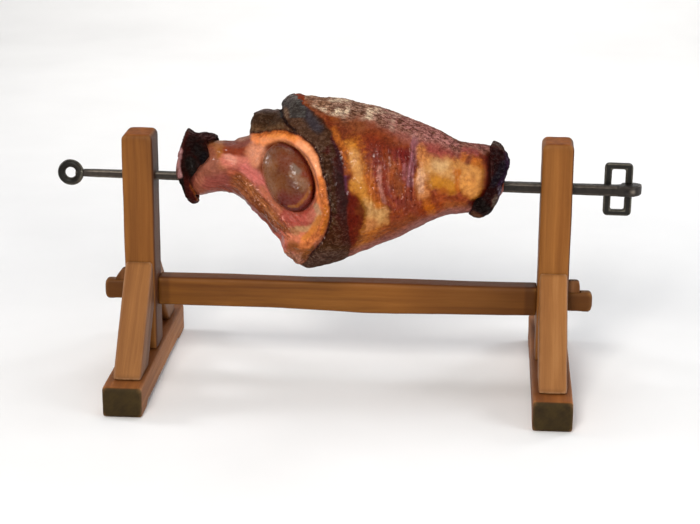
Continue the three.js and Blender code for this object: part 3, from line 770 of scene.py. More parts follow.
def finish_iron(ob, body, node, voxel, material, dent=0.25, seed=0, lo=0.05, hi=0.22, extra=None, rub_and_highlight=None,
                tone_and_light=None):
    """ob is laid out along the bar's own axis in millimetres * MM; set it on the spit axis."""
    remesh(ob, voxel * MM, 2, 0.35)
    co, nm = coords(ob) / MM, normals(ob)
    k = convexity(ob, voxel * MM, 4)
    # rubbed edges, with the painted highlights that each piece gives
    wear = smoothstep(lo, hi, k) if rub_and_highlight is None else rub_and_highlight(co, nm, k)
    d = dent * fbm(np.stack([co[:, 0] / 14, co[:, 1] / 9, co[:, 2] / 9], 1), 3, seed) - 0.5 * dent * wear * np.clip(
        fbm(co / 5.0, 2, seed + 5), 0, 1)
    if extra is not None:
        d = d + extra(co, nm)
    d = np.minimum(d, 0.2 if extra is None else 0.9)
    out = co + nm * d[:, None]
    attribute(ob, "ipos", co * MM)
    attribute(ob, "wear", wear)
    attribute(ob, "tone_and_light", np.ones(len(co)) if tone_and_light is None else tone_and_light(co))
    v = np.concatenate([out * MM, np.ones((len(out), 1))], 1) @ np.array(SPIT).T
    set_coords(ob, v[:, :3])
    ob.data.materials.clear()
    ob.data.materials.append(material)
    shade_smooth(ob)
    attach(ob, body)
    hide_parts(node)
    return ob


def build_bar():
    # tapered square bar, chamfered arrises
    rows, n = [], 0
    v, f = [], []
    for x in np.linspace(BAR_LEFT, 396, 40):
        a = bar_side(x) / 2
        c = 0.16 * bar_side(x)
        e = 0.35 * smoothstep(0, 5, BAR_LEFT + 5 - x)
        a -= e
        for y, z in [(-a, -a + c), (-a + c, -a), (a - c, -a), (a, -a + c), (a, a - c), (a - c, a), (-a + c, a), (-a, a - c)]:
            v.append((x, y, z))
        n += 1
    for i in range(n - 1):
        for j in range(8):
            f.append((i * 8 + j, i * 8 + (j + 1) % 8, (i + 1) * 8 + (j + 1) % 8, (i + 1) * 8 + j))
    f.append(tuple(range(7, -1, -1)))
    f.append(tuple(range((n - 1) * 8, n * 8)))
    ob = mesh_object("spit_bar_iron", np.array(v) * MM, f)
    bm = bmesh.new()
    bm.from_mesh(ob.data)
    bmesh.ops.recalc_face_normals(bm, faces=bm.faces)
    bm.to_mesh(ob.data)
    bm.free()
    a = bar_side(395) / 2
    rr = [(-90, EYE_Y + a + 0.1), (-45, 19.6), (0, 18.4), (45, 16.4), (90, 13.6), (135, 11.6), (180, 10.6)]
    th = np.arange(-80, 181, 6.0)
    r = np.interp(th, [q[0] for q in rr], [q[1] for q in rr])
    pts = [(388, a), (388, -a), (EYE_X, -a - 0.1)] + [(EYE_X + q * math.cos(math.radians(t)), EYE_Y + q * math.sin(math.radians(t))) for q, t in zip(r, th)]
    pts.append((391, a + 1.2))
    eye = extruded("eye", pts, -15.6 / 2, 15.6 / 2, "Z", ease=2.4)
    co = coords(eye)
    co[:, 2] *= 1 - 0.22 * smoothstep(8, 27, co[:, 1] / MM)      # the strap thins towards its tip
    set_coords(eye, co)
    cut(ob, eye, "UNION")
    tool = cutter_rod(-20, 20, 0, 0, 4.6, 40)      # along X: turn it upright at the eye
    co = coords(tool)
    co = np.stack([co[:, 1] + EYE_X * MM, co[:, 2] + EYE_Y * MM, co[:, 0]], 1)
    set_coords(tool, co)
    cut(ob, tool)
    tool = cutter_rod(BAR_LEFT - 5, BAR_LEFT + 21, 0, 0, 3.3, 24)
    cut(ob, tool)
    # seam of the rolled end: a shallow groove spiralling where the tip meets the bar
    def extra(co, nm):
        d = np.hypot(co[:, 0] - 392.2, co[:, 1] - 8.6)
        g = smoothstep(2.6, 0.4, d) * (nm[:, 1] > 0.2) * -0.7
        near = (co[:, 1] < 6) * 1.0
        g += 1.0 * np.exp(-((co[:, 0] - 408) ** 2 + co[:, 2] ** 2) / 12.0) * near
        return g - 1.1 * np.exp(-((co[:, 0] - 400) ** 2 + co[:, 2] ** 2) / 10.0) * near

    # painted highlight lines along the chamfered arrises, and a painted highlight on the bulge of the rolled eye
    def rub_and_highlight(co, nm, k):
        arris = smoothstep(1.09, 1.18, np.hypot(co[:, 1], co[:, 2]) / (bar_side(co[:, 0]) / 2)) * 0.7
        eye = np.clip(smoothstep(0.02, 0.12, k) + 1.0 * np.exp(-((co[:, 0] - 407.5) ** 2 + co[:, 2] ** 2) / 14.0) * (co[:, 1] < 6), 0, 1)
        return np.where(co[:, 0] < 386, arris, eye)

    # painted light and shade: brighter towards the lit left end and darker to the right, painted highlights on the
    # eye's bulge and tip, painted shade in the dimple by the seam
    def tone_and_light(co):
        t = np.interp(co[:, 0], [-383, -330, -250, 250, 330, 400], [1.7, 1.6, 1.2, 1.0, 0.80, 0.74])
        near = (co[:, 1] < 6) * 1.0
        t += 1.1 * np.exp(-((co[:, 0] - 408) ** 2 + co[:, 2] ** 2) / 12.0) * near + 0.5 * smoothstep(413, 418, co[:, 0])
        return np.clip(t - 0.35 * np.exp(-((co[:, 0] - 400) ** 2 + co[:, 2] ** 2) / 10.0) * near, 0, 2)
    return finish_iron(ob, "spit", "spit_bar", 0.95, iron_bar, dent=0.30, seed=3, extra=extra, rub_and_highlight=rub_and_highlight, tone_and_light=tone_and_light)


def build_ring():
    v, f, R, T, N, M = [], [], 13.5, 5.7, 64, 28
    for i in range(N):
        a = 2 * math.pi * i / N
        for j in range(M):
            b = 2 * math.pi * j / M
            r = R + T * math.cos(b)
            v.append((-402.3 + r * math.cos(a), T * math.sin(b) * 0.98, r * math.sin(a)))
    for i in range(N):
        for j in range(M):
            f.append((i * M + j, i * M + (j + 1) % M, ((i + 1) % N) * M + (j + 1) % M, ((i + 1) % N) * M + j))
    ob = mesh_object("ring_eye_iron", np.array(v) * MM, f)
    bm = bmesh.new()
    bm.from_mesh(ob.data)
    bmesh.ops.recalc_face_normals(bm, faces=bm.faces)
    bm.to_mesh(ob.data)
    bm.free()
    # waisted neck up to the bar's end, then the blind shank
    prof = [(-394.5, 6.6), (-391.6, 5.9), (-388.8, 5.6), (-386.0, 5.7), (-384.4, 5.9), (-383.7, 5.8), (-383.6, 2.9), (-363.3, 2.9)]
    v, f, M = [], [], 28
    for x, r in prof:
        for j in range(M):
            b = 2 * math.pi * j / M
            v.append((x, r * math.cos(b), r * math.sin(b)))
    for i in range(len(prof) - 1):
        for j in range(M):
            f.append((i * M + j, i * M + (j + 1) % M, (i + 1) * M + (j + 1) % M, (i + 1) * M + j))
    f.append(tuple(range(M - 1, -1, -1)))
    f.append(tuple(range((len(prof) - 1) * M, len(prof) * M)))
    neck = mesh_object("neck", np.array(v) * MM, f)
    bm = bmesh.new()
    bm.from_mesh(neck.data)
    bmesh.ops.recalc_face_normals(bm, faces=bm.faces)
    bm.to_mesh(neck.data)
    bm.free()
    cut(ob, neck, "UNION")

    # painted highlights on the ring's inner and outer rims and its lower right side
    def rub_and_highlight(co, nm, k):
        dx, dz = co[:, 0] + 402.3, co[:, 2]
        r = np.hypot(dx, dz)
        rim = smoothstep(0.62, 0.95, np.abs(r - 13.5) / 5.7) * 0.7
        low = smoothstep(0.2, 0.95, (0.55 * dx - 0.83 * dz) / np.maximum(r, 1e-3)) * smoothstep(0.0, 0.7, (r - 13.5) / 5.7)
        return np.clip(np.where(co[:, 0] < -386, rim + 0.8 * low, 0.35), 0, 1)

    def tone_and_light(co):
        return np.interp(co[:, 0], [-393, -385], [0.9, 1.9])
    return finish_iron(ob, "spit", "ring_eye", 0.8, iron_link, dent=0.35, seed=8, rub_and_highlight=rub_and_highlight, tone_and_light=tone_and_light)


def build_link():
    W, H, LEG, BARH, T, cz = 40.3, 77.2, 10.4, 8.6, 9.0, -1.5
    cx = EYE_X + LEG / 2 - W / 2
    out = sketch([(cx - W / 2, cz - H / 2, 6.5), (cx + W / 2, cz - H / 2, 6.5), (cx + W / 2, cz + H / 2, 6.5), (cx - W / 2, cz + H / 2, 6.5)], 8)
    ob = extruded("handle_link_iron", out, EYE_Y - T / 2, EYE_Y + T / 2, "Y", ease=2.0, clamp=False)
    w, h = W / 2 - LEG, H / 2 - BARH
    inn = sketch([(cx - w, cz - h, 3), (cx + w, cz - h, 3), (cx + w, cz + h, 3), (cx - w, cz + h, 3)], 6)
    cut(ob, extruded("hole", inn, EYE_Y - 12, EYE_Y + 12, "Y", ease=0))
    # inner bevel: widen the window towards both faces
    for s in (-1, 1):
        e = 1.9
        big = [(cx - w - e, cz - h - e, 3 + e), (cx + w + e, cz - h - e, 3 + e), (cx + w + e, cz + h + e, 3 + e), (cx - w - e, cz + h + e, 3 + e)]
        a, b = sketch(inn and [(cx - w, cz - h, 3), (cx + w, cz - h, 3), (cx + w, cz + h, 3), (cx - w, cz + h, 3)], 6), sketch(big, 6)
        n = len(a)
        y0, y1 = EYE_Y + s * (T / 2 - e), EYE_Y + s * (T / 2 + 0.05)
        v = [(p[0], y0, p[1]) for p in a] + [(p[0], y1, p[1]) for p in b]
        f = [tuple(range(n)), tuple(range(2 * n - 1, n - 1, -1))] + [(i, n + i, n + (i + 1) % n, (i + 1) % n) for i in range(n)]
        t = mesh_object("bevel", np.array(v) * MM, f)
        bm = bmesh.new()
        bm.from_mesh(t.data)
        bmesh.ops.recalc_face_normals(bm, faces=bm.faces)
        bm.to_mesh(t.data)
        bm.free()
        cut(ob, t)

    def rub_and_highlight(co, nm, k):
        # the bevels are rubbed bright, with painted highlight lines on them
        dx, dz = np.abs(co[:, 0] - cx), np.abs(co[:, 2] - cz)
        outer = np.minimum(W / 2 - dx, H / 2 - dz)
        inner = np.maximum(dx - w, dz - h)
        return 0.95 * np.maximum(smoothstep(2.7, 1.3, outer), smoothstep(2.6, 1.2, inner)) * smoothstep(0.2, 0.45, np.abs(nm[:, 1]))

    half = 15.6 / 2 + 0.4
    cut(ob, cutter_box(EYE_X - 6, EYE_X + 6, EYE_Y - 8, EYE_Y + 8, -half, half))
    rod = cutter_rod(-half - 3, half + 3, 0, 0, 4.15, 36)
    co = coords(rod)
    set_coords(rod, np.stack([co[:, 1] + EYE_X * MM, co[:, 2] + EYE_Y * MM, co[:, 0]], 1))
    cut(ob, rod, "UNION")
    return finish_iron(ob, "link", "handle_link", 0.7, iron_link, dent=0.22, seed=15,
                       rub_and_highlight=rub_and_highlight)


build_bar()
build_ring()
build_link()


# ------------------------------------------------------------------ the leg: axes and the flat sheet its features are laid out on
ORIGIN = np.array([0, 0, SPIT_Z])
LEG = np.array([[math.cos(TILT), 0, -math.sin(TILT)], [0.00833, 0.29778, 0.95460], [-0.00260, 0.95464, -0.29776]])   # along, up, away


def leg_to_world(q):
    return ORIGIN + np.asarray(q, float) @ LEG


def world_to_leg(p):
    return (np.asarray(p, float) - ORIGIN) @ LEG.T


SHEET_R = np.array([0.9972418, 0.07397802, 0.00600399])
SHEET_U = np.array([-0.02782079, 0.29758161, 0.95429093])
SHEET_F = np.array([-0.06880988, 0.95182584, -0.29881895])
SHEET_O = np.array([193.87, -2611.28, 998.78])


def sheet(p):
    """Place of a point (mm, world axes at rest) on a flat drawing of the leg's front, 700 units wide, b downwards.
    The back of the leg uses the same drawing, turned over."""
    q = world_to_leg(p)
    q[:, 2] = -np.abs(q[:, 2])
    r = leg_to_world(q) - SHEET_O
    k = 1881.56 / (r @ SHEET_F)
    return np.stack([350 + k * (r @ SHEET_R), 262 - k * (r @ SHEET_U)], 1)


def path_distance(ab, pts, signed=False, along=False):
    """Distance to a drawn line; signed: positive on the left of its direction of travel (b runs downwards)."""
    pts = np.asarray(pts, float)
    best = np.full(len(ab), 1e9)
    side = np.ones(len(ab))
    run = np.zeros(len(ab))
    rad = np.zeros(len(ab))
    acc = 0.0
    for i in range(len(pts) - 1):
        a, b = pts[i, :2], pts[i + 1, :2]
        d = b - a
        L = math.hypot(*d) + 1e-9
        t = np.clip(((ab - a) @ d) / L ** 2, 0, 1)
        v = ab - (a + t[:, None] * d)
        dist = np.hypot(v[:, 0], v[:, 1])
        near = dist < best
        best = np.where(near, dist, best)
        cr = d[0] * v[:, 1] - d[1] * v[:, 0]
        side = np.where(near, np.where(cr > 0, -1.0, 1.0), side)
        run = np.where(near, acc + t * L, run)
        if pts.shape[1] > 2:
            rad = np.where(near, pts[i, 2] + t * (pts[i + 1, 2] - pts[i, 2]), rad)
        acc += L
    out = [best * side if signed else best]
    if along:
        out.append(run)
    if pts.shape[1] > 2:
        out.append(rad)
    return out if len(out) > 1 else out[0]


# outline of the leg square to its cut face: along the spit, height above the axis
TOP = [(-250, 20), (-248.5, 28), (-246, 35), (-242, 41), (-236, 47), (-226, 52), (-215.2, 54.2), (-193.4, 55.6), (-178.8, 55.3), (-164.3, 55.8),
       (-149.8, 58.4), (-135.5, 63.9), (-124.1, 71.5), (-114.3, 79.0), (-104.5, 89.4), (-94.8, 102.7), (-86.5, 113.1), (-78.0, 119.1),
       (-68.0, 121.6), (-54.9, 121.3), (-43.3, 119.4), (-28.8, 119.2), (-14.4, 118.9), (0.2, 116.4), (14.7, 113.3), (36.4, 110.4),
       (51.0, 105.8), (65.6, 100.5), (80.1, 95.2), (94.7, 90.6), (109.2, 85.3), (123.8, 79.3), (138.4, 72.6), (148.6, 67.2),
       (160.2, 62.5), (174.6, 60.1), (188.9, 59.9), (203.2, 58.5), (212, 54), (219, 46), (224, 34)]
BOT = [(-250, 0), (-248.5, -6), (-246, -10), (-242, -14), (-236, -19), (-226, -25), (-219.4, -28.9), (-207.8, -29.5), (-200.6, -26.4),
       (-190.5, -23.9), (-176.0, -22.7), (-165.7, -24.5), (-156.8, -29.2), (-149.4, -34.8), (-141.7, -44.6), (-131.2, -54.4),
       (-120.7, -62.7), (-108.6, -78.1), (-99.5, -89.4), (-93.3, -99.2), (-87.1, -109.1), (-78.2, -116.0), (-69.4, -120.0),
       (-60.6, -123.3), (-49.0, -122.9), (-34.6, -120.2), (-20.3, -116.8), (-6.0, -112.0), (8.2, -106.4), (22.4, -100.2),
       (36.6, -93.9), (50.8, -87.6), (65.0, -82.1), (79.1, -75.9), (93.2, -68.2), (107.3, -60.5), (121.4, -52.8), (135.5, -46.6),
       (149.7, -41.8), (163.9, -39.9), (178.2, -38.0), (192.4, -35.3), (206.5, -29.8), (216.2, -20), (224, -6)]
DEEP = [(-250, 9, 9), (-248, 15, 15), (-245, 20, 20), (-238, 25, 24), (-226, 30, 28), (-212, 33, 31), (-196, 35, 33), (-178, 36, 34), (-160, 38, 36),
        (-147, 42, 40), (-137, 47, 46), (-126, 53, 53), (-112, 60, 60), (-98, 66, 68), (-86, 72, 75), (-72, 78, 81), (-56, 83, 85),
        (-38, 86, 87), (-15, 88, 88), (10, 87, 86), (38, 84, 83), (66, 80, 78), (92, 73, 72), (116, 66, 65), (138, 58, 58),
        (156, 52, 52), (174, 48, 48), (190, 46, 46), (204, 43, 43), (214, 37, 37), (224, 20, 20)]


def table(tab, x, soft=2.2):
    t = np.array(tab, float)
    fine = np.linspace(t[0, 0], t[-1, 0], 800)
    out = []
    for c in range(1, t.shape[1]):
        y = np.interp(fine, t[:, 0], t[:, c])
        s = soft / (fine[1] - fine[0])
        k = np.exp(-0.5 * (np.arange(-int(3 * s), int(3 * s) + 1) / s) ** 2)
        k /= k.sum()
        pad = int(3 * s)
        y2 = np.convolve(np.pad(y, pad, mode="reflect", reflect_type="odd"), k, "valid")
        out.append(np.interp(x, fine, y2))
    return out if len(out) > 1 else out[0]


def skin_loft(name, xs, top, bot, front, back, expo=2.2, n=160, grow=0.0):
    v, f = [], []
    th = 2 * np.pi * np.arange(n) / n
    c, s = np.cos(th), np.sin(th)
    k = 1 / (np.abs(c) ** expo + np.abs(s) ** expo) ** (1 / expo)
    for x, zt, zb, yf, yb in zip(xs, top, bot, front, back):
        zc, hz = (zt + zb) / 2, (zt - zb) / 2 + grow
        d = np.where(c > 0, -(yf + grow), (yb + grow)) * np.abs(c) * k
        v.append(np.stack([np.full(n, x), zc + hz * s * k, d], 1))
    m = len(v)
    v = leg_to_world(np.concatenate(v))
    for i in range(m - 1):
        for j in range(n):
            f.append((i * n + j, i * n + (j + 1) % n, (i + 1) * n + (j + 1) % n, (i + 1) * n + j))
    f.append(tuple(range(n - 1, -1, -1)))
    f.append(tuple(range((m - 1) * n, m * n)))
    ob = mesh_object(name, v * MM, f)
    outward(ob)
    return ob


def outward(ob):
    bm = bmesh.new()
    bm.from_mesh(ob.data)
    bmesh.ops.recalc_face_normals(bm, faces=bm.faces)
    bm.to_mesh(ob.data)
    bm.free()


def blob(name, centre, semi, rot=0.0, lean=0.0):
    """Ellipsoid in the leg's axes; rot turns it in the plane of the sheet, lean tips its face towards the shank."""
    bm = bmesh.new()
    bmesh.ops.create_uvsphere(bm, u_segments=64, v_segments=40, radius=1)
    co = np.array([v.co for v in bm.verts]) * np.array(semi)
    c, s = math.cos(rot), math.sin(rot)
    co = np.stack([co[:, 0] * c - co[:, 1] * s, co[:, 0] * s + co[:, 1] * c, co[:, 2]], 1)
    c, s = math.cos(lean), math.sin(lean)
    co = np.stack([co[:, 0] * c - co[:, 2] * s, co[:, 1], co[:, 0] * s + co[:, 2] * c], 1)
    w = leg_to_world(co + np.array(centre)) * MM
    for v, p in zip(bm.verts, w):
        v.co = p
    me = bpy.data.meshes.new(name)
    bm.to_mesh(me)
    bm.free()
    ob = bpy.data.objects.new(name, me)
    COLL.objects.link(ob)
    outward(ob)
    return ob


def join(obs):
    """One mesh out of several overlapping closed ones, ready to be remeshed into one skin."""
    bm = bmesh.new()
    for o in obs:
        bm.from_mesh(o.data)
    bm.to_mesh(obs[0].data)
    bm.free()
    for o in obs[1:]:
        bpy.data.objects.remove(o)
    return obs[0]


# lines drawn on the sheet
RIM_OUT = [(246, 134), (262, 132.5), (275, 131), (288, 131), (298, 135), (306, 140.5), (313, 147), (318.5, 157), (321.5, 167), (324.5, 180),
           (327.5, 193), (329.5, 208), (329, 220), (326, 232), (319, 244), (309, 256), (299, 267)]        # outside of the fat rim
BAND_R = [(299, 99), (306, 106), (315, 114), (324, 122), (331, 132), (336, 142), (340, 153), (343, 165), (345, 180), (347, 195), (347, 210),
          (348, 225), (350, 240), (348, 262)]                                                       # right edge of the charred band
CREASE = [(423, 118), (418, 130), (414, 145), (411.5, 160), (409.5, 175), (408, 188), (410, 202), (412, 214)]
CREASE2 = [(379, 160), (381, 172), (380, 184), (384, 198), (389, 209)]
MUSCLE = [(212, 172), (225, 173), (238, 178), (250, 188), (261, 203), (273, 218), (286, 231), (297, 240)]
HEAD_C, HEAD_A, HEAD_B, HEAD_T = (288.1, 176.9), 23.3, 35.6, math.radians(-28)


def head_ring(ab, grow=0.0):
    """About 0 on the edge of the joint head, in sheet units, negative inside."""
    d = ab - np.array(HEAD_C)
    c, s = math.cos(HEAD_T), math.sin(HEAD_T)
    x = d[:, 0] * c + d[:, 1] * s
    y = -d[:, 0] * s + d[:, 1] * c
    r = np.hypot(x / (HEAD_A + grow), y / (HEAD_B + grow))
    return (r - 1) * 29.0


def relief(p, ab, front):
    """How far the skin stands out from the plain body of the leg, in millimetres."""
    wob = 1.6 * np.stack([fbm(p / 16.0, 3, 71), fbm(p / 16.0 + 9, 3, 72)], 1)
    q = ab + wob
    s = path_distance(q, RIM_OUT, signed=True)
    r = path_distance(q, BAND_R, signed=True)
    ring = head_ring(q)
    in_face = smoothstep(0, -2, s) * (ab[:, 0] < 345)
    h = np.zeros(len(p))
    # charred band: a thick rolled strip with a drop on its left
    band = smoothstep(-1.0, 5, s) * smoothstep(-4, 5, -r + 5) * (ab[:, 0] > 255)
    prof = smoothstep(0, 7, s) * (1 - 0.45 * smoothstep(10, 26, s))
    h += 3.6 * band * prof
    # step right of the band
    h += -1.2 * np.exp(-(r + 1.0) ** 2 / 10.0) * (s > 0)
    # fat rim: rounded ridge, then the floor of the face
    rim_w = np.interp(ab[:, 1], [125, 140, 150, 165, 200, 235, 262], [9.5, 11.0, 10.5, 9.0, 8.0, 9.0, 9.0])
    t = -s / rim_w
    ridge = np.where(t < 1, np.sqrt(np.clip(1 - (2 * t - 1) ** 2, 0, 1)), 0)
    floor_w = smoothstep(0.75, 1.5, t) * smoothstep(243, 268, ab[:, 0] + 0.15 * (ab[:, 1] - 180))
    low = smoothstep(250, 238, ab[:, 1])
    h += in_face * (-2.6 + 2.6 * ridge * (t < 1))
    h += in_face * -7.0 * floor_w * low * (0.25 + 0.75 * front)
    h += -2.8 * np.exp(-(s + 0.2) ** 2 / 2.2) * (ab[:, 0] > 258) * (ab[:, 1] < 262)
    # seat of the joint head: a groove round it
    h += front * -3.2 * np.exp(-(ring - 1.2) ** 2 / 4.0)
    h += front * 1.6 * np.exp(-(ring - 4.6) ** 2 / 5.0)
    h += front * -9 * smoothstep(-0.5, -4, ring)
    # crescent of lean meat under the head
    h += front * 2.2 * np.exp(-(path_distance(q, [(286, 219), (299, 222), (311, 214), (316, 203)]) ** 2) / 26.0)
    # muscle bundles sweeping from the neck down into the face
    m, along = path_distance(q, MUSCLE, signed=True, along=True)
    wm = smoothstep(26, 12, np.abs(m)) * smoothstep(2, 16, along) * smoothstep(112, 92, along) * (s < -4) * smoothstep(-1, 4, ring)
    ph = m * 0.95 + 2.2 * fbm(np.stack([along / 16, m / 9, along * 0], 1), 3, 44)
    h += wm * (1.25 * np.sin(ph) + 0.6 * np.sin(ph * 2.3 + along * 0.05))
    h += -2.0 * np.exp(-(m - 11) ** 2 / 7.0) * wm
    # notch between the two knobs above the cut face
    h += -4.5 * np.exp(-path_distance(q, [(280, 102), (282, 114), (287, 124), (295, 130)]) ** 2 / 4.0)
    # tendon ridge along the top of the neck and hollow under it
    h += 1.6 * np.exp(-path_distance(q, [(216, 144), (232, 145), (248, 142), (258, 141)]) ** 2 / 9.0)
    h += -3.2 * np.exp(-path_distance(q, [(222, 153), (236, 156), (247, 153)]) ** 2 / 16.0)
    h += 2.4 * np.exp(-path_distance(q, [(226, 163), (240, 163), (251, 168)]) ** 2 / 20.0)
    h += 2.0 * np.exp(-path_distance(q, [(262, 155), (254, 165), (259, 178), (268, 192)]) ** 2 / 16.0)
    # torn lower lip
    lip = smoothstep(236, 248, ab[:, 1]) * in_face
    h += lip * 1.8 * fbm(p / 7.0, 3, 52)
    # creases across the skin on the right
    c = path_distance(q, CREASE, signed=True)
    top_fade = smoothstep(122, 140, ab[:, 1]) * smoothstep(222, 205, ab[:, 1])
    h += top_fade * (-2.4 * np.exp(-c ** 2 / 5.0) + 1.6 * np.exp(-(c - 5.5) ** 2 / 14.0) + 1.0 * np.exp(-(c + 6) ** 2 / 22.0))
    c2 = path_distance(q, CREASE2, signed=True)
    h += -1.7 * np.exp(-c2 ** 2 / 4.0) + 1.2 * np.exp(-(c2 - 4.5) ** 2 / 9.0)
    pl = smoothstep(362, 374, ab[:, 0]) * smoothstep(428, 408, ab[:, 0]) * smoothstep(134, 152, ab[:, 1]) * smoothstep(216, 200, ab[:, 1])
    h += pl * 0.75 * np.clip(fbm(np.stack([ab[:, 0] / 3.4, ab[:, 1] / 17.0, p[:, 1] / 90.0], 1), 3, 58) * 2.2, -1, 1)
    for line, amp, wid in (([(430, 176), (437, 192), (452, 203)], -1.6, 8), ([(447, 150), (452, 170), (450, 190)], 1.6, 60),
                           ([(468, 160), (474, 176), (470, 195)], 1.8, 50), ([(396, 150), (394, 172), (399, 198)], 1.3, 30),
                           ([(458, 165), (459, 180), (457, 196)], -1.5, 10), ([(352, 150), (360, 178), (366, 205), (356, 236)], 1.3, 40)):
        h += amp * np.exp(-path_distance(q, line) ** 2 / wid)
    return h


def crust_at(p, ab, q):
    """Grainy dry crust along the top edge."""
    x = q[:, 0]
    up = table(TOP, x)
    depth = (up - q[:, 1]) / 1.45
    n = fbm(p / 22.0, 3, 61) * 9
    w = np.interp(x, [-110, -60, -20, 60, 100, 140, 180, 220], [4, 9, 21, 17, 18, 15, 6, 4])
    top = smoothstep(w + 5, w - 7, depth + n) * (x > -62)
    return np.clip(top, 0, 1)


# ------------------------------------------------------------------ the leg: colouring by listed strokes
class Paint:
    def __init__(self, p, ab, base, base_gloss, seed=0):
        n = len(p)
        self.p, self.ab = p, ab
        self.col = np.tile(np.array(base, float), (n, 1))
        self.gloss = np.full(n, float(base_gloss))
        self.crust = np.zeros(n)
        self.fibre = np.zeros(n)
        self.speck = np.zeros(n)
        self.pleats_and_light = np.zeros(n)
        self.calm = np.zeros(n)
        self.j = np.stack([fbm(p / 15.0, 4, 101 + seed), fbm(p / 15.0 + 5, 4, 102 + seed)], 1)
        self.fine = fbm(p / 4.2, 3, 103 + seed)

    def lay(self, mask, color=None, op=1.0, gloss=None, crust=None, fibre=None, speck=None, pleats_and_light=None, calm=None):
        m = np.clip(mask * op, 0, 1)
        if color is not None:
            self.col += (np.array(srgb(*color)) - self.col) * m[:, None]
        for name, val in (("gloss", gloss), ("crust", crust), ("fibre", fibre), ("speck", speck), ("pleats_and_light", pleats_and_light), ("calm", calm)):
            if val is not None:
                a = getattr(self, name)
                setattr(self, name, a + (val - a) * m)
        return m

    def stroke(self, pts, r, color, op=1.0, soft=0.5, jit=3.0, rough=0.25, where=None, **kw):
        """Soft brush stroke: pts on the sheet (a third number scales the radius), r in sheet units."""
        ab = self.ab + self.j * jit
        pts = [tuple(q) + (1.0,) if len(q) == 2 else q for q in pts]
        if len(pts) == 1:
            pts = [pts[0], (pts[0][0] + 0.01, pts[0][1], pts[0][2])]
        d, k = path_distance(ab, pts)
        t = d / (r * k) + rough * self.fine
        m = smoothstep(1.0 + soft, 1.0 - soft, t)
        if where is not None:
            m = m * where
        return self.lay(m, color, op, **kw)


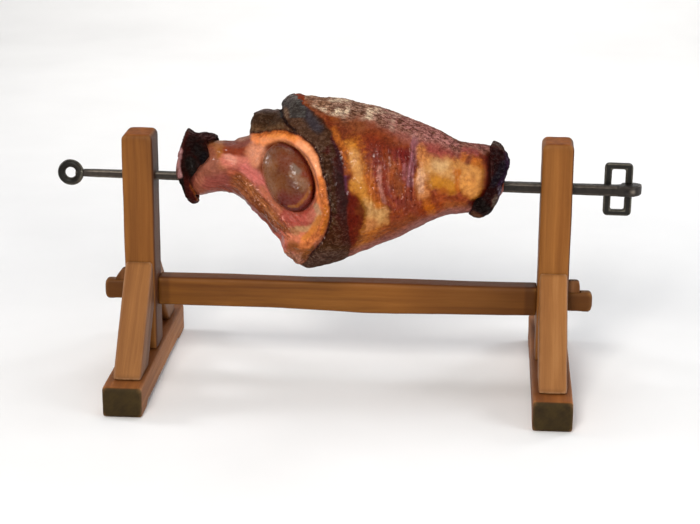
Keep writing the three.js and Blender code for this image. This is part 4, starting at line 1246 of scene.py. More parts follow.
def paint_meat(p, ab, q, front):
    P = Paint(p, ab, srgb(128, 60, 31), 0.75)
    s = path_distance(ab + 1.6 * P.j, RIM_OUT, signed=True)
    r = path_distance(ab + 2.6 * P.j, BAND_R, signed=True)
    a, b = ab[:, 0], ab[:, 1]
    body = smoothstep(-2, 2, r)
    mott = fbm(p / 11.0, 4, 7)
    mott2 = fbm(p / 26.0, 3, 8)
    # roasted skin: broad drifts of mahogany, red brown and umber
    P.lay(smoothstep(0.0, 0.5, mott2), (142, 72, 36), 0.6)
    P.lay(smoothstep(0.05, 0.5, -mott2), (112, 48, 26), 0.6)
    P.lay(smoothstep(0.15, 0.5, mott), (146, 66, 40), 0.5)
    # dark mahogany middle of the skin, with painted glints and painted highlights on its pleats
    P.lay(smoothstep(362, 372, a) * smoothstep(426, 412, a) * smoothstep(140, 152, b) * smoothstep(218, 204, b) * (a > 0), (104, 33, 9), 0.72, gloss=0.9, pleats_and_light=1.0, speck=0.55)
    # right half
    P.stroke([(352, 120), (375, 122), (400, 128), (420, 134), (440, 142)], 16, (136, 80, 66), 0.75, 0.6, gloss=0.45)
    P.stroke([(345, 128), (365, 132), (385, 140)], 14, (118, 62, 44), 0.7, 0.7, gloss=0.55)
    P.stroke([(396, 120), (415, 130), (432, 138)], 12, (153, 98, 92), 0.6, 0.7, gloss=0.4)
    P.stroke([(372, 150), (385, 165), (395, 185), (400, 205)], 15, (126, 56, 31), 0.8, 0.7)
    P.stroke([(426, 148), (446, 151), (466, 153), (480, 156)], 9, (144, 72, 66), 0.85, 0.6)
    P.stroke([(415, 196), (428, 203), (445, 205), (462, 205)], 9, (146, 72, 33), 0.75, 0.6)
    P.stroke([(400, 215), (415, 210), (430, 208)], 10, (128, 60, 33), 0.7, 0.6)
    P.stroke([(352, 246), (372, 240), (395, 230), (412, 221)], 8, (134, 74, 46), 0.7, 0.6)
    # golden and tan fat showing through
    gold, tan, pale, amber, orange = (186, 118, 44), (204, 140, 72), (212, 152, 88), (172, 92, 26), (182, 100, 40)
    P.stroke([(352, 148), (358, 160), (362, 174), (364, 190), (370, 208), (376, 218), (368, 232), (358, 244)], 10.0, (172, 100, 42), 0.85, 0.7, jit=5.0, rough=0.5)
    P.stroke([(348, 144), (355, 152)], 5, (190, 122, 56), 0.9, 0.5, jit=3)
    P.stroke([(354, 156), (358, 168), (359, 180)], 6.0, (202, 144, 84), 0.9, 0.7, jit=3.5, calm=0.5)
    P.stroke([(357, 186), (362, 196), (366, 205)], 7, (184, 122, 56), 0.9, 0.7, jit=4, calm=0.4)
    P.stroke([(365, 209), (376, 213), (381, 217)], 8, (190, 142, 88), 0.95, 0.7, jit=4, calm=0.5)
    P.stroke([(366, 222), (360, 229), (372, 222)], 6, (178, 116, 70), 0.9, 0.5, jit=4)
    P.stroke([(355, 236), (362, 241), (352, 248)], 6, (156, 92, 46), 0.85, 0.5, jit=4)
    P.stroke([(368, 176), (372, 192), (378, 204)], 5, amber, 0.8, 0.6, jit=5)
    P.stroke([(388, 160), (394, 178), (398, 192)], 5, (150, 84, 30), 0.55, 0.7, jit=6)
    P.stroke([(421, 152), (424, 165), (421, 180), (423, 192)], 6.5, (190, 122, 74), 0.9, 0.5, jit=3.5)
    P.stroke([(421, 170), (421, 190)], 3.2, (206, 156, 122), 0.8, 0.5, jit=3)
    P.stroke([(432, 168), (438, 172), (446, 170), (452, 176)], 10.5, (195, 141, 84), 0.95, 0.65, jit=4, calm=0.6)
    P.stroke([(436, 164), (443, 165)], 5.5, (204, 162, 112), 0.85, 0.7, jit=3, calm=0.6)
    P.stroke([(436, 180), (444, 185), (450, 188)], 7, (182, 118, 44), 0.85, 0.5, jit=4, calm=0.7)
    P.stroke([(440, 196), (443, 192)], 4.5, (150, 72, 26), 0.7, 0.5, jit=3)
    P.stroke([(462, 168), (470, 172), (478, 170), (481, 180), (478, 190)], 9.0, (193, 133, 74), 0.95, 0.65, jit=4, calm=0.55)
    P.stroke([(466, 184), (471, 189), (476, 190)], 7.0, (204, 138, 74), 0.95, 0.65, jit=4, calm=0.5)
    P.stroke([(457, 172), (457, 190)], 3.0, (176, 96, 34), 0.8, 0.6, jit=3)
    P.stroke([(466, 156), (474, 161), (481, 164)], 4.5, (176, 98, 44), 0.8, 0.6, jit=4)
    P.stroke([(428, 202), (432, 212)], 4.5, (176, 96, 28), 0.8, 0.5, jit=3)
    P.stroke([(448, 206), (462, 207), (474, 206)], 4.5, (142, 82, 52), 0.8, 0.6, jit=2)
    # amber glimmers among the mahogany
    for q1, q2, w1 in (((371, 158), (372, 166), 2.0), ((384, 150), (386, 158), 2.2), ((391, 172), (392, 182), 2.2), ((399, 160), (400, 170), 1.8),
                       ((376, 188), (380, 196), 2.6), ((402, 184), (404, 192), 2.0), ((388, 200), (394, 206), 2.4), ((393, 215), (400, 212), 2.6)):
        P.stroke([q1, q2], w1, (150, 74, 28), 0.6, 0.7, jit=3, rough=0.6)
    # dark burnt patches
    P.stroke([(352, 203), (357, 210), (356, 221), (350, 234), (346, 246)], 9.5, (88, 40, 10), 0.92, 0.4, jit=3.5, gloss=0.4)
    P.stroke([(340, 163), (346, 178), (346, 196)], 4.5, (78, 34, 30), 0.75, 0.5, jit=2)
    P.stroke([(378, 148), (386, 155)], 7, (104, 50, 26), 0.5, 0.7)
    P.stroke([(485, 152), (486, 165), (487, 180), (484, 194)], 5.5, (104, 50, 24), 0.85, 0.7, jit=2)
    P.stroke([(490, 150), (491, 165), (491, 182), (487, 197)], 4.5, (56, 25, 14), 0.95, 0.6, jit=1.5, gloss=0.6)
    P.stroke([(472, 204), (480, 200), (485, 194)], 4.5, (76, 30, 16), 0.85, 0.6, jit=1.5)
    P.stroke([(470, 158), (468, 162)], 3.0, (96, 54, 50), 0.7, 0.6, jit=2)
    # creases: painted greyish lilac highlights on their shoulders, painted shade along their grooves, and a purple-grey
    # streak at the band's edge
    lilac = (160, 104, 112)
    P.stroke([(416, 138), (413, 152), (411, 168), (409.5, 184)], 3.0, lilac, 0.75, 0.6, jit=1.4, rough=0.5, gloss=0.85)
    P.stroke([(405, 165), (404, 178)], 2.5, (150, 92, 98), 0.5, 0.6, jit=1.4, rough=0.5)
    P.stroke([(380, 168), (380, 186), (385, 202)], 2.2, (176, 118, 104), 0.6, 0.6, jit=2.0, rough=0.6, gloss=0.95)
    P.stroke([(414, 146), (411, 176), (411, 200)], 1.3, (92, 40, 38), 0.6, 0.6, jit=1.2)
    P.stroke([(345, 177), (345.5, 186), (345, 194)], 1.7, (92, 62, 92), 0.55, 0.6, jit=0.8)
    # underside rim
    low = smoothstep(9, 1, (q[:, 1] - table(BOT, q[:, 0])) / 1.45 + 3 * P.j[:, 0]) * (r > 0)
    P.lay(low, (150, 100, 94), 0.8, gloss=0.35, crust=0.35)
    # dry grainy crust on the top
    cr = crust_at(p, ab, q)
    P.stroke([(333, 112), (345, 119), (360, 127)], 7, (122, 72, 50), 0.8, 0.7, gloss=0.4)
    P.lay(cr, (146, 114, 98), 0.85, gloss=0.1, crust=1.0)
    P.lay(cr * smoothstep(362, 402, a), (140, 86, 82), 0.8)
    P.lay(cr * smoothstep(0.0, 0.4, mott), (98, 66, 52), 0.8)
    P.lay(cr * smoothstep(340, 322, a) * (r > -30), (140, 100, 76), 0.5)
    P.lay(cr * smoothstep(0.0, 0.35, -mott) * smoothstep(430, 350, a), (194, 166, 140), 0.9)
    P.lay(smoothstep(346, 336, a) * smoothstep(132, 120, b) * body, None, 1.0, gloss=0.3)
    # amber edge beside the band
    P.stroke([(309, 108), (317, 116), (326, 124), (333, 135), (339, 147)], 4.5, (116, 62, 40), 0.85, 0.8, jit=3.2, rough=0.6, gloss=0.5)
    P.stroke([(314, 113), (322, 121)], 3.2, (132, 74, 52), 0.7, 0.7, jit=2.5, rough=0.7)
    P.stroke([(334, 130), (339, 139), (345, 150)], 3.0, (172, 98, 50), 0.9, 0.8, jit=2.0, rough=0.5)
    P.stroke([(341, 150), (346, 160), (348, 172)], 3.5, (150, 82, 36), 0.6, 0.6, jit=1.6)
    # charred band
    inband = smoothstep(-1.2, 1.2, s) * smoothstep(1.5, -2.0, r)
    P.lay(inband, (72, 53, 44), 1.0, gloss=0.25, crust=0.4, fibre=0, calm=0.3, pleats_and_light=0, speck=0)
    # painted glints with crust along the band's left edge
    P.lay(inband * smoothstep(7, 1, s) * smoothstep(120, 150, b), None, 1.0, speck=0.7, crust=0.75)
    P.lay(inband * smoothstep(0.0, 0.4, mott), (74, 44, 32), 0.8)
    P.lay(inband * smoothstep(-2, -9, r) * smoothstep(9, 2, s) * smoothstep(0.0, 0.3, fbm(p / 6.0, 3, 33) + 0.05), (96, 80, 70), 0.7, crust=0.6)
    # dark char on the band's right half, deepened as painted shade on its rounded side
    P.lay(inband * smoothstep(-14, -4, r) * smoothstep(150, 175, b), (52, 24, 18), 0.8, gloss=0.6, crust=0.1)
    P.lay(inband * smoothstep(200, 236, b), (76, 51, 29), 0.7, gloss=0.25, crust=0.5)
    P.lay(inband * smoothstep(240, 256, b), (84, 64, 58), 0.8, gloss=0.35, crust=0.5)
    # grey seared tissue between the bumps and the band
    P.stroke([(286, 112), (296, 118), (306, 128), (316, 138)], 11, (84, 64, 54), 0.9, 0.5, jit=2.5, where=(s > -0.5) * (r < 0) * 1.0, gloss=0.2, crust=0.25)
    P.stroke([(262, 128), (276, 126), (290, 127)], 4.5, (98, 72, 58), 0.85, 0.5, jit=2.0, where=(s > -1) * 1.0, gloss=0.2, crust=0.25)
    # painted sheen: bluish grey on the band's upper part
    P.stroke([(302, 106), (308, 117), (318, 128)], 5, (58, 55, 60), 0.8, 0.6, jit=1.5, where=(r < 0) * 1.0, gloss=0.6)
    # purple-black char on the band's right side, deepened as painted shade
    P.stroke([(334, 138), (340, 156), (342, 172)], 2.6, (62, 26, 36), 0.8, 0.6, jit=1.2, where=(r < 0) * 1.0, gloss=0.6)
    # bumps of charred skin on top
    bump = ((a < 284) & (b < 131) & (a > 248)) * smoothstep(252, 255, a + 4) * (s > -2)
    P.lay(bump * 1.0, (72, 56, 47), 0.97, gloss=0.3, crust=0.35)
    P.lay(bump * smoothstep(122, 129, b + 3 * P.j[:, 0]), (108, 82, 62), 0.85)
    # painted highlight: grey-lilac top edges of the bumps, over their crust
    P.lay(bump * smoothstep(115, 109, b), (104, 90, 87), 0.85, crust=0.5)
    horn = (a > 280) * (a < 306) * (b < 118) * (r < 0)
    P.lay(horn * 1.0, (72, 67, 64), 0.95, gloss=0.3, crust=0.45)
    # painted highlight: pale grey top of the knob, over its crust
    P.lay(horn * smoothstep(104, 95, b), (112, 102, 98), 0.8, crust=0.8)
    P.stroke([(285, 110), (286, 116)], 3, (118, 90, 72), 0.7, 0.6, jit=1)
    # painted shade: a thin dark line down the notch between the two knobs
    P.stroke([(281, 105), (282, 114), (287, 124), (295, 130)], 1.6, (34, 24, 20), 0.8, 0.6, jit=0.6)
    # cut face
    inface = smoothstep(0.8, -1.2, s) * (a < 345)
    P.lay(inface, (150, 88, 66), 1.0, gloss=0.8, crust=0.0, fibre=0.15, calm=0.6)
    F = inface
    P.stroke([(199, 180), (212, 180), (226, 180), (238, 186)], 10, (146, 78, 70), 0.9, 0.6, where=F, fibre=0.55, gloss=0.7)
    P.stroke([(204, 168), (216, 164)], 8, (152, 94, 76), 0.85, 0.6, where=F, gloss=0.7)
    P.stroke([(200, 176), (197, 188), (202, 194)], 4.5, (156, 94, 74), 0.8, 0.6, where=F)
    P.stroke([(217, 140), (221, 150), (224, 163)], 5.5, (165, 108, 72), 0.9, 0.5, where=F, gloss=0.6)
    P.stroke([(219, 152), (221, 158)], 3, (156, 92, 40), 0.7, 0.5, where=F)
    P.stroke([(218, 140), (232, 139), (246, 137)], 3.2, (160, 122, 106), 0.8, 0.5, where=F, gloss=0.3, crust=0.4)
    P.stroke([(229, 168), (240, 170), (249, 177)], 1.8, (130, 52, 44), 0.7, 0.6, where=F, jit=1.0)
    P.stroke([(228, 144), (240, 145), (250, 143)], 4.5, (126, 74, 66), 0.85, 0.5, where=F)
    P.stroke([(226, 151), (238, 153), (248, 151)], 4.0, (138, 60, 38), 0.9, 0.5, where=F, jit=2)
    P.stroke([(225, 161), (236, 162), (248, 163)], 6.0, (210, 124, 106), 0.95, 0.5, where=F, jit=2)
    P.stroke([(228, 157), (234, 161)], 3.6, (232, 160, 138), 0.85, 0.5, where=F)
    P.stroke([(245, 170), (254, 176), (262, 186), (268, 194)], 6.5, (212, 120, 110), 0.95, 0.5, where=F, jit=2)
    P.stroke([(252, 152), (257, 148), (262, 152), (256, 160)], 6.5, (214, 140, 106), 0.95, 0.5, where=F, jit=2)
    P.stroke([(262, 142), (268, 138)], 4.0, (226, 150, 104), 0.8, 0.6, where=F)
    P.stroke([(230, 172), (240, 176), (250, 185)], 3.0, (176, 92, 66), 0.8, 0.6, where=F, jit=1.5)
    P.stroke([(238, 181), (248, 190), (256, 199), (266, 211), (278, 224), (287, 231)], 8.0, (158, 92, 54), 0.92, 0.45, where=F, jit=2.2, fibre=1.0, gloss=0.95, calm=0.0)
    P.stroke([(246, 184), (256, 195), (266, 208), (276, 221)], 2.2, (190, 118, 72), 0.75, 0.6, where=F, jit=2.2, rough=0.7, fibre=1.0)
    # painted glints over the muscle
    P.stroke([(242, 180), (252, 190), (262, 202), (272, 213), (282, 226)], 6.5, None, 1.0, 0.5, where=F, speck=1.0)
    P.stroke([(252, 197), (262, 210), (273, 223)], 2.0, (124, 62, 34), 0.6, 0.6, where=F, jit=2.2, rough=0.7)
    P.stroke([(236, 194), (246, 203), (256, 214), (266, 226)], 4.0, (140, 84, 70), 0.8, 0.6, where=F, jit=1.5, fibre=0.7)
    P.stroke([(262, 188), (270, 200), (279, 212), (287, 222), (294, 232)], 3.6, (188, 112, 84), 0.9, 0.5, where=F, jit=1.4)
    # pinkish lilac fringe under the muscle, lightened as a painted highlight along its lower edge
    P.stroke([(250, 210), (264, 224), (272, 234), (280, 246)], 4.2, (176, 116, 112), 0.9, 0.5, where=F, jit=1.5, gloss=0.6)
    P.stroke([(268, 222), (278, 230)], 4.0, (150, 84, 62), 0.7, 0.6, where=F)
    P.stroke([(279, 238), (284, 246), (288, 252)], 6.5, (204, 112, 98), 0.95, 0.5, where=F, jit=2)
    P.stroke([(284, 254), (294, 260), (304, 254)], 4.5, (198, 124, 84), 0.85, 0.6, where=F, jit=2.5, rough=0.6, crust=0.6, gloss=0.3)
    P.stroke([(290, 238), (300, 238), (308, 234)], 6.5, (212, 126, 94), 0.95, 0.5, where=F, jit=2)
    P.stroke([(291, 247), (300, 249), (309, 247)], 5.0, (138, 82, 48), 0.9, 0.5, where=F, jit=2.5, rough=0.5)
    P.stroke([(289, 256), (296, 260), (302, 257)], 5.0, (156, 108, 90), 0.9, 0.5, where=F, jit=2, gloss=0.3, crust=0.5)
    P.stroke([(304, 256), (312, 249)], 3.5, (122, 74, 44), 0.8, 0.5, where=F, jit=2)
    P.stroke([(287, 216), (294, 221), (303, 220), (311, 212)], 7.0, (174, 84, 72), 0.95, 0.45, where=F, jit=1.5, gloss=0.9)
    P.stroke([(311, 204), (315, 209), (311, 218)], 4.5, (186, 108, 88), 0.85, 0.5, where=F, jit=1.2)
    P.stroke([(290, 214), (300, 214)], 2.5, (160, 84, 70), 0.6, 0.6, where=F)
    P.stroke([(297, 229), (306, 230), (314, 227), (319, 218)], 2.6, (190, 146, 104), 0.9, 0.5, where=F, jit=1.2)
    P.stroke([(291, 230), (297, 234)], 2.8, (176, 122, 84), 0.8, 0.5, where=F)
    # fat rim
    fat = (238, 142, 88)
    rim = [(255, 138, 0.7), (262, 138, 0.95), (272, 136, 1.15), (284, 136, 1.2), (294, 141, 1.2), (303, 149, 1.25), (311, 159, 1.1), (316, 171, 0.95),
           (319, 184, 0.8), (322, 198, 0.8), (323, 211, 0.8), (320, 224, 0.85), (314, 234, 0.95), (306, 243, 0.8)]
    P.stroke(rim, 6.4, fat, 1.0, 0.35, where=F, jit=1.5, gloss=0.5, fibre=0, calm=0.8)
    P.stroke([(262, 140), (276, 139), (288, 142)], 2.6, (232, 152, 104), 0.8, 0.6, where=F, jit=1.5)
    P.stroke([(300, 145), (308, 152), (314, 162), (318, 172)], 4.6, (238, 162, 116), 0.95, 0.5, where=F, jit=1.2)
    P.stroke([(270, 136), (284, 135), (294, 138)], 2.8, (228, 142, 76), 0.8, 0.6, where=F, jit=1.2)
    P.stroke([(266, 132), (280, 131), (290, 133)], 2.2, (152, 84, 46), 0.85, 0.6, where=F, jit=1.5, rough=0.6)
    # orange line along the rim, with painted glints
    P.stroke([(320, 178), (323.5, 192), (325.5, 206), (325, 218)], 3.4, (206, 118, 62), 0.9, 0.5, where=F, jit=1.6, rough=0.5, speck=0.5, calm=0.2, crust=0.25)
    P.stroke([(324, 196), (326.5, 208), (325, 220), (320, 231), (312, 240), (303, 247)], 3.6, (182, 104, 62), 0.8, 0.6, where=F, jit=2.0, rough=0.6, calm=0.0, crust=0.22)
    P.stroke([(256, 135), (268, 133), (282, 132), (292, 135)], 2.8, (198, 108, 56), 0.75, 0.6, where=F, jit=1.8, rough=0.6, calm=0.0, crust=0.35)
    P.stroke([(326, 208), (326, 220), (322, 232)], 2.2, (172, 98, 44), 0.85, 0.5, where=F, jit=1.5, rough=0.6)
    P.stroke([(316, 206), (319, 214), (316, 224)], 2.6, (192, 152, 118), 0.85, 0.5, where=F, jit=1.0)
    P.stroke([(319, 218), (314, 229), (305, 238)], 3.0, (196, 122, 62), 0.85, 0.5, where=F, jit=1.5)
    P.stroke([(300, 160), (308, 170), (313, 184), (314, 198)], 2.0, (156, 90, 66), 0.5, 0.6, where=F * front, jit=1)
    # painted shadow: a dark line where the band overhangs the rim
    P.lay(np.exp(-(s - 0.6) ** 2 / 1.6) * (a > 258) * (b < 256), (44, 26, 22), 0.75)
    # painted shade in the seat round the joint head, weaker on its lit left side
    ring = head_ring(ab + 0.8 * P.j)
    lit = smoothstep(300, 268, a + 0.25 * (190 - b))
    P.lay(front * smoothstep(2.6, 0.6, ring) * (1 - 0.75 * lit), (92, 42, 34), 0.9, gloss=0.9)
    # painted highlight: a thin light line outside the head's upper right edge
    P.lay(front * np.exp(-(ring - 3.8) ** 2 / 2.5) * smoothstep(280, 300, a) * smoothstep(200, 180, b), (186, 116, 100), 0.6)
    # open end at the shank
    end = smoothstep(-234, -240, q[:, 0])
    P.lay(end, (196, 138, 134), 0.95, gloss=0.6)
    P.lay(end * smoothstep(16, 4, q[:, 1]), (92, 58, 48), 0.8)
    return P


def flow_coords(p, ab):
    m, along = path_distance(ab, MUSCLE, signed=True, along=True)
    return np.stack([m, along, p[:, 1] * 0.1], 1)


def roast_material(name, seed=0.0, sheen=1.0):
    m = Nodes(name)
    tint = m.attr("tint", "Color")
    p = m.attr("rest", "Vector")
    gloss, crust, fibre = m.attr("gloss"), m.attr("crust"), m.attr("fibre")
    speck, pleats_and_light = m.attr("speck"), m.attr("pleats_and_light")
    busy = m.math("MULTIPLY_ADD", m.attr("calm"), -0.8, 1.0)
    flow = m.attr("flow", "Vector")
    off = (seed, seed * 2, seed * 3)
    n1 = m.noise(m.mapping(p, (55, 55, 55), off), 1.0, 6, 0.65)
    n2 = m.noise(m.mapping(p, (190, 190, 190), off), 1.0, 5, 0.7)
    n3 = m.noise(m.mapping(p, (900, 900, 900), off), 1.0, 3, 0.6)
    blister = m.voronoi(m.vmath("ADD", m.mapping(p, (130, 130, 130), off), m.vmath("SCALE", m.noise(m.mapping(p, (60, 60, 60), off), 1.0, 2, 0.5, out="Color"))), 1.0)
    # grains of the dry crust, lying along the leg
    gw = m.vmath("SCALE", m.noise(m.mapping(p, (120, 120, 120), off), 1.0, 3, 0.6, out="Color"))
    g1 = m.noise(m.vmath("ADD", m.mapping(p, (135, 235, 235), off), gw), 1.0, 4, 0.72)
    g2 = m.noise(m.mapping(p, (360, 520, 520), off), 1.0, 3, 0.6)
    grains = m.math("ADD", m.math("MULTIPLY", g1, 0.68), m.math("MULTIPLY", g2, 0.32))
    # streaks of muscle
    st = m.noise(m.mapping(flow, (0.85, 0.07, 0.4), off), 1.0, 5, 0.6)
    st2 = m.noise(m.mapping(flow, (2.6, 0.16, 1.0), off), 1.0, 4, 0.6)
    streak = m.math("ADD", m.math("MULTIPLY", st, 0.6), m.math("MULTIPLY", st2, 0.4))
    # pleats round the leg
    pl = m.noise(m.vmath("ADD", m.mapping(p, (260, 34, 34), off), m.vmath("SCALE", m.noise(m.mapping(p, (40, 40, 40), off), 1.0, 2, 0.5, out="Color"))), 1.0, 4, 0.62)
    dark = m.vmath("MULTIPLY", tint, (0.46, 0.36, 0.32))
    light = m.vmath("MULTIPLY", tint, (1.42, 1.50, 1.48))
    col = m.mix(m.math("MULTIPLY", busy, m.remap(n1, 0.38, 0.56, 0.6, 0.0)), tint, dark)
    col = m.mix(m.math("MULTIPLY", busy, m.remap(n2, 0.50, 0.62, 0.0, 0.75)), col, light)
    col = m.mix(m.math("MULTIPLY", busy, m.remap(n2, 0.47, 0.36, 0.0, 0.75)), col, dark)
    # blistered skin: darker rims round small cells
    bl = m.math("MULTIPLY", m.remap(blister, 0.5, 0.8, 0.0, 0.16), m.math("SUBTRACT", 1.0, fibre, clamp=True))
    col = m.mix(bl, col, dark)
    col = m.mix(m.math("MULTIPLY", fibre, m.remap(streak, 0.42, 0.58, 0.0, 0.8)), col, dark)
    col = m.mix(m.math("MULTIPLY", fibre, m.remap(streak, 0.50, 0.38, 0.0, 0.6)), col, light)
    # painted shade in the pleats' troughs and painted highlights on their ridges
    col = m.mix(m.math("MULTIPLY", pleats_and_light, m.remap(pl, 0.50, 0.40, 0.0, 0.6)), col, dark)
    pleat_highlight = m.vmath("ADD", m.vmath("MULTIPLY", tint, (1.35, 1.6, 1.9)), (0.02, 0.018, 0.026))
    col = m.mix(m.math("MULTIPLY", pleats_and_light, m.remap(pl, 0.54, 0.64, 0.0, 0.6)), col, pleat_highlight)
    # crust: pale salt-like grains and dark gaps
    pale = m.vmath("ADD", m.vmath("MULTIPLY", tint, (1.9, 2.1, 2.1)), (0.03, 0.03, 0.028))
    col = m.mix(m.math("MULTIPLY", crust, m.remap(grains, 0.515, 0.555, 0.0, 0.95)), col, pale)
    col = m.mix(m.math("MULTIPLY", crust, m.remap(grains, 0.49, 0.445, 0.0, 0.9)), col, m.vmath("MULTIPLY", tint, (0.32, 0.30, 0.30)))
    # small bright specks: painted glints of wet highlight, which also pass for crumbs of fat
    sp = m.noise(m.mapping(p, (250, 250, 250), (off[0] + 3, off[1], off[2])), 1.0, 2, 0.45)
    glint_crumb = m.vmath("ADD", m.vmath("MULTIPLY", tint, (1.2, 1.2, 1.2)), (0.34, 0.24, 0.20))
    col = m.mix(m.math("MULTIPLY", speck, m.remap(sp, 0.64, 0.70, 0.0, 0.9)), col, glint_crumb)
    m.set("Base Color", col)
    rough = m.math("MULTIPLY_ADD", gloss, -0.58, 0.80)
    rough = m.math("MULTIPLY_ADD", m.math("SUBTRACT", n2, 0.5), 0.35, rough, clamp=True)
    m.set("Roughness", rough)
    m.set("Specular IOR Level", m.math("MULTIPLY_ADD", m.math("MULTIPLY", gloss, gloss), 0.17 * sheen, 0.01))
    m.set("Coat Weight", m.math("MULTIPLY", m.math("MULTIPLY", gloss, gloss), m.remap(n2, 0.46, 0.60, 0.0, 0.42 * sheen)))
    m.set("Coat Roughness", 0.10)
    m.set("Subsurface Weight", 0.10)
    m.set("Subsurface Radius", (0.9, 0.35, 0.2))
    m.set("Subsurface Scale", 0.004)
    h = m.math("MULTIPLY_ADD", n1, 0.9, m.math("MULTIPLY", n2, 0.75))
    h = m.math("MULTIPLY_ADD", n3, 0.12, h)
    h = m.math("MULTIPLY_ADD", blister, -0.35, h)
    h = m.math("MULTIPLY_ADD", m.math("MULTIPLY", fibre, streak), 1.6, h)
    h = m.math("MULTIPLY_ADD", m.math("MULTIPLY", pleats_and_light, pl), 1.5, h)
    h = m.math("MULTIPLY_ADD", m.math("MULTIPLY", crust, grains), 2.6, h)
    m.set("Normal", m.bump(h, 0.85, 0.0016))
    return m.mat


def deepen(col):
    """Leaves room for the sheen that the studio's pale surroundings lay over every colour."""
    return np.clip(np.maximum((col - 0.020) / 1.12, col * 0.22), 0, 1)


def finish_meat(ob, P, q, node, material):
    p = coords(ob) / MM
    attribute(ob, "rest", p * MM)
    attribute(ob, "gloss", P.gloss)
    attribute(ob, "crust", P.crust)
    attribute(ob, "fibre", P.fibre)
    attribute(ob, "speck", P.speck)
    attribute(ob, "pleats_and_light", P.pleats_and_light)
    attribute(ob, "calm", P.calm)
    attribute(ob, "flow", flow_coords(p, P.ab))
    attribute(ob, "tint", np.concatenate([deepen(P.col), np.ones((len(p), 1))], 1))
    ob.data.materials.clear()
    ob.data.materials.append(material)
    shade_smooth(ob)
    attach(ob, "spit")
    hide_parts(node)
    return ob


roast = roast_material("roast leg", 0.7)


def build_meat():
    xs = np.concatenate([[-250, -249.3, -248.3, -247, -245], np.arange(-243, 219, 3.0), [219, 221, 222.6, 223.6, 224]])
    top, bot = table(TOP, xs), table(BOT, xs)
    fr, bk = table(DEEP, xs)
    body = skin_loft("ham_roast", xs, top, bot, fr, bk)
    bump1 = blob("bump", (-119.5, 79, 3), (22.5, 20.5, 27))
    bump1b = blob("bump", (-125, 68, 2), (17.5, 16, 24))
    bump2 = blob("bump", (-74.5, 97, 4), (26, 26, 34), rot=-0.15)
    bump2b = blob("bump", (-85, 92, 2), (15.5, 26, 28))
    saddle = blob("bump", (-101, 86, 2), (11, 14, 22))
    join([body, bump1, bump1b, bump2, bump2b, saddle])
    remesh(body, 1.75 * MM, 5, 0.5)
    p = coords(body) / MM
    nm = normals(body)
    q = world_to_leg(p)
    front = smoothstep(3, -6, q[:, 2])
    ab = sheet(p)
    h = relief(p, ab, front)
    low = 1.9 * fbm(p / 34.0, 3, 21) + 0.8 * fbm(p / 12.0, 3, 22)
    p2 = p + nm * (h + low * smoothstep(-240, -225, q[:, 0]))[:, None]
    set_coords(body, p2 * MM)
    # finer relief on the new surface
    nm = normals(body)
    ab = sheet(p2)
    q = world_to_leg(p2)
    P = paint_meat(p2, ab, q, front)
    fine = 0.30 * fbm(p2 / 4.5, 3, 31)
    grain = P.crust * (0.9 * np.abs(fbm(p2 / 3.6, 2, 32)) + 0.5 * fbm(p2 / 7.0, 2, 35))
    f1 = flow_coords(p2, ab)
    streak = P.fibre * 0.45 * np.sin(f1[:, 0] * 2.4 + 3.0 * fbm(np.stack([f1[:, 1] / 14, f1[:, 0] / 6, f1[:, 2]], 1), 3, 38))
    set_coords(body, (p2 + nm * (fine + grain + streak)[:, None]) * MM)
    # bore for the spit is left closed round the bar: the meat grips it
    return finish_meat(body, P, q, "ham_meat", roast)


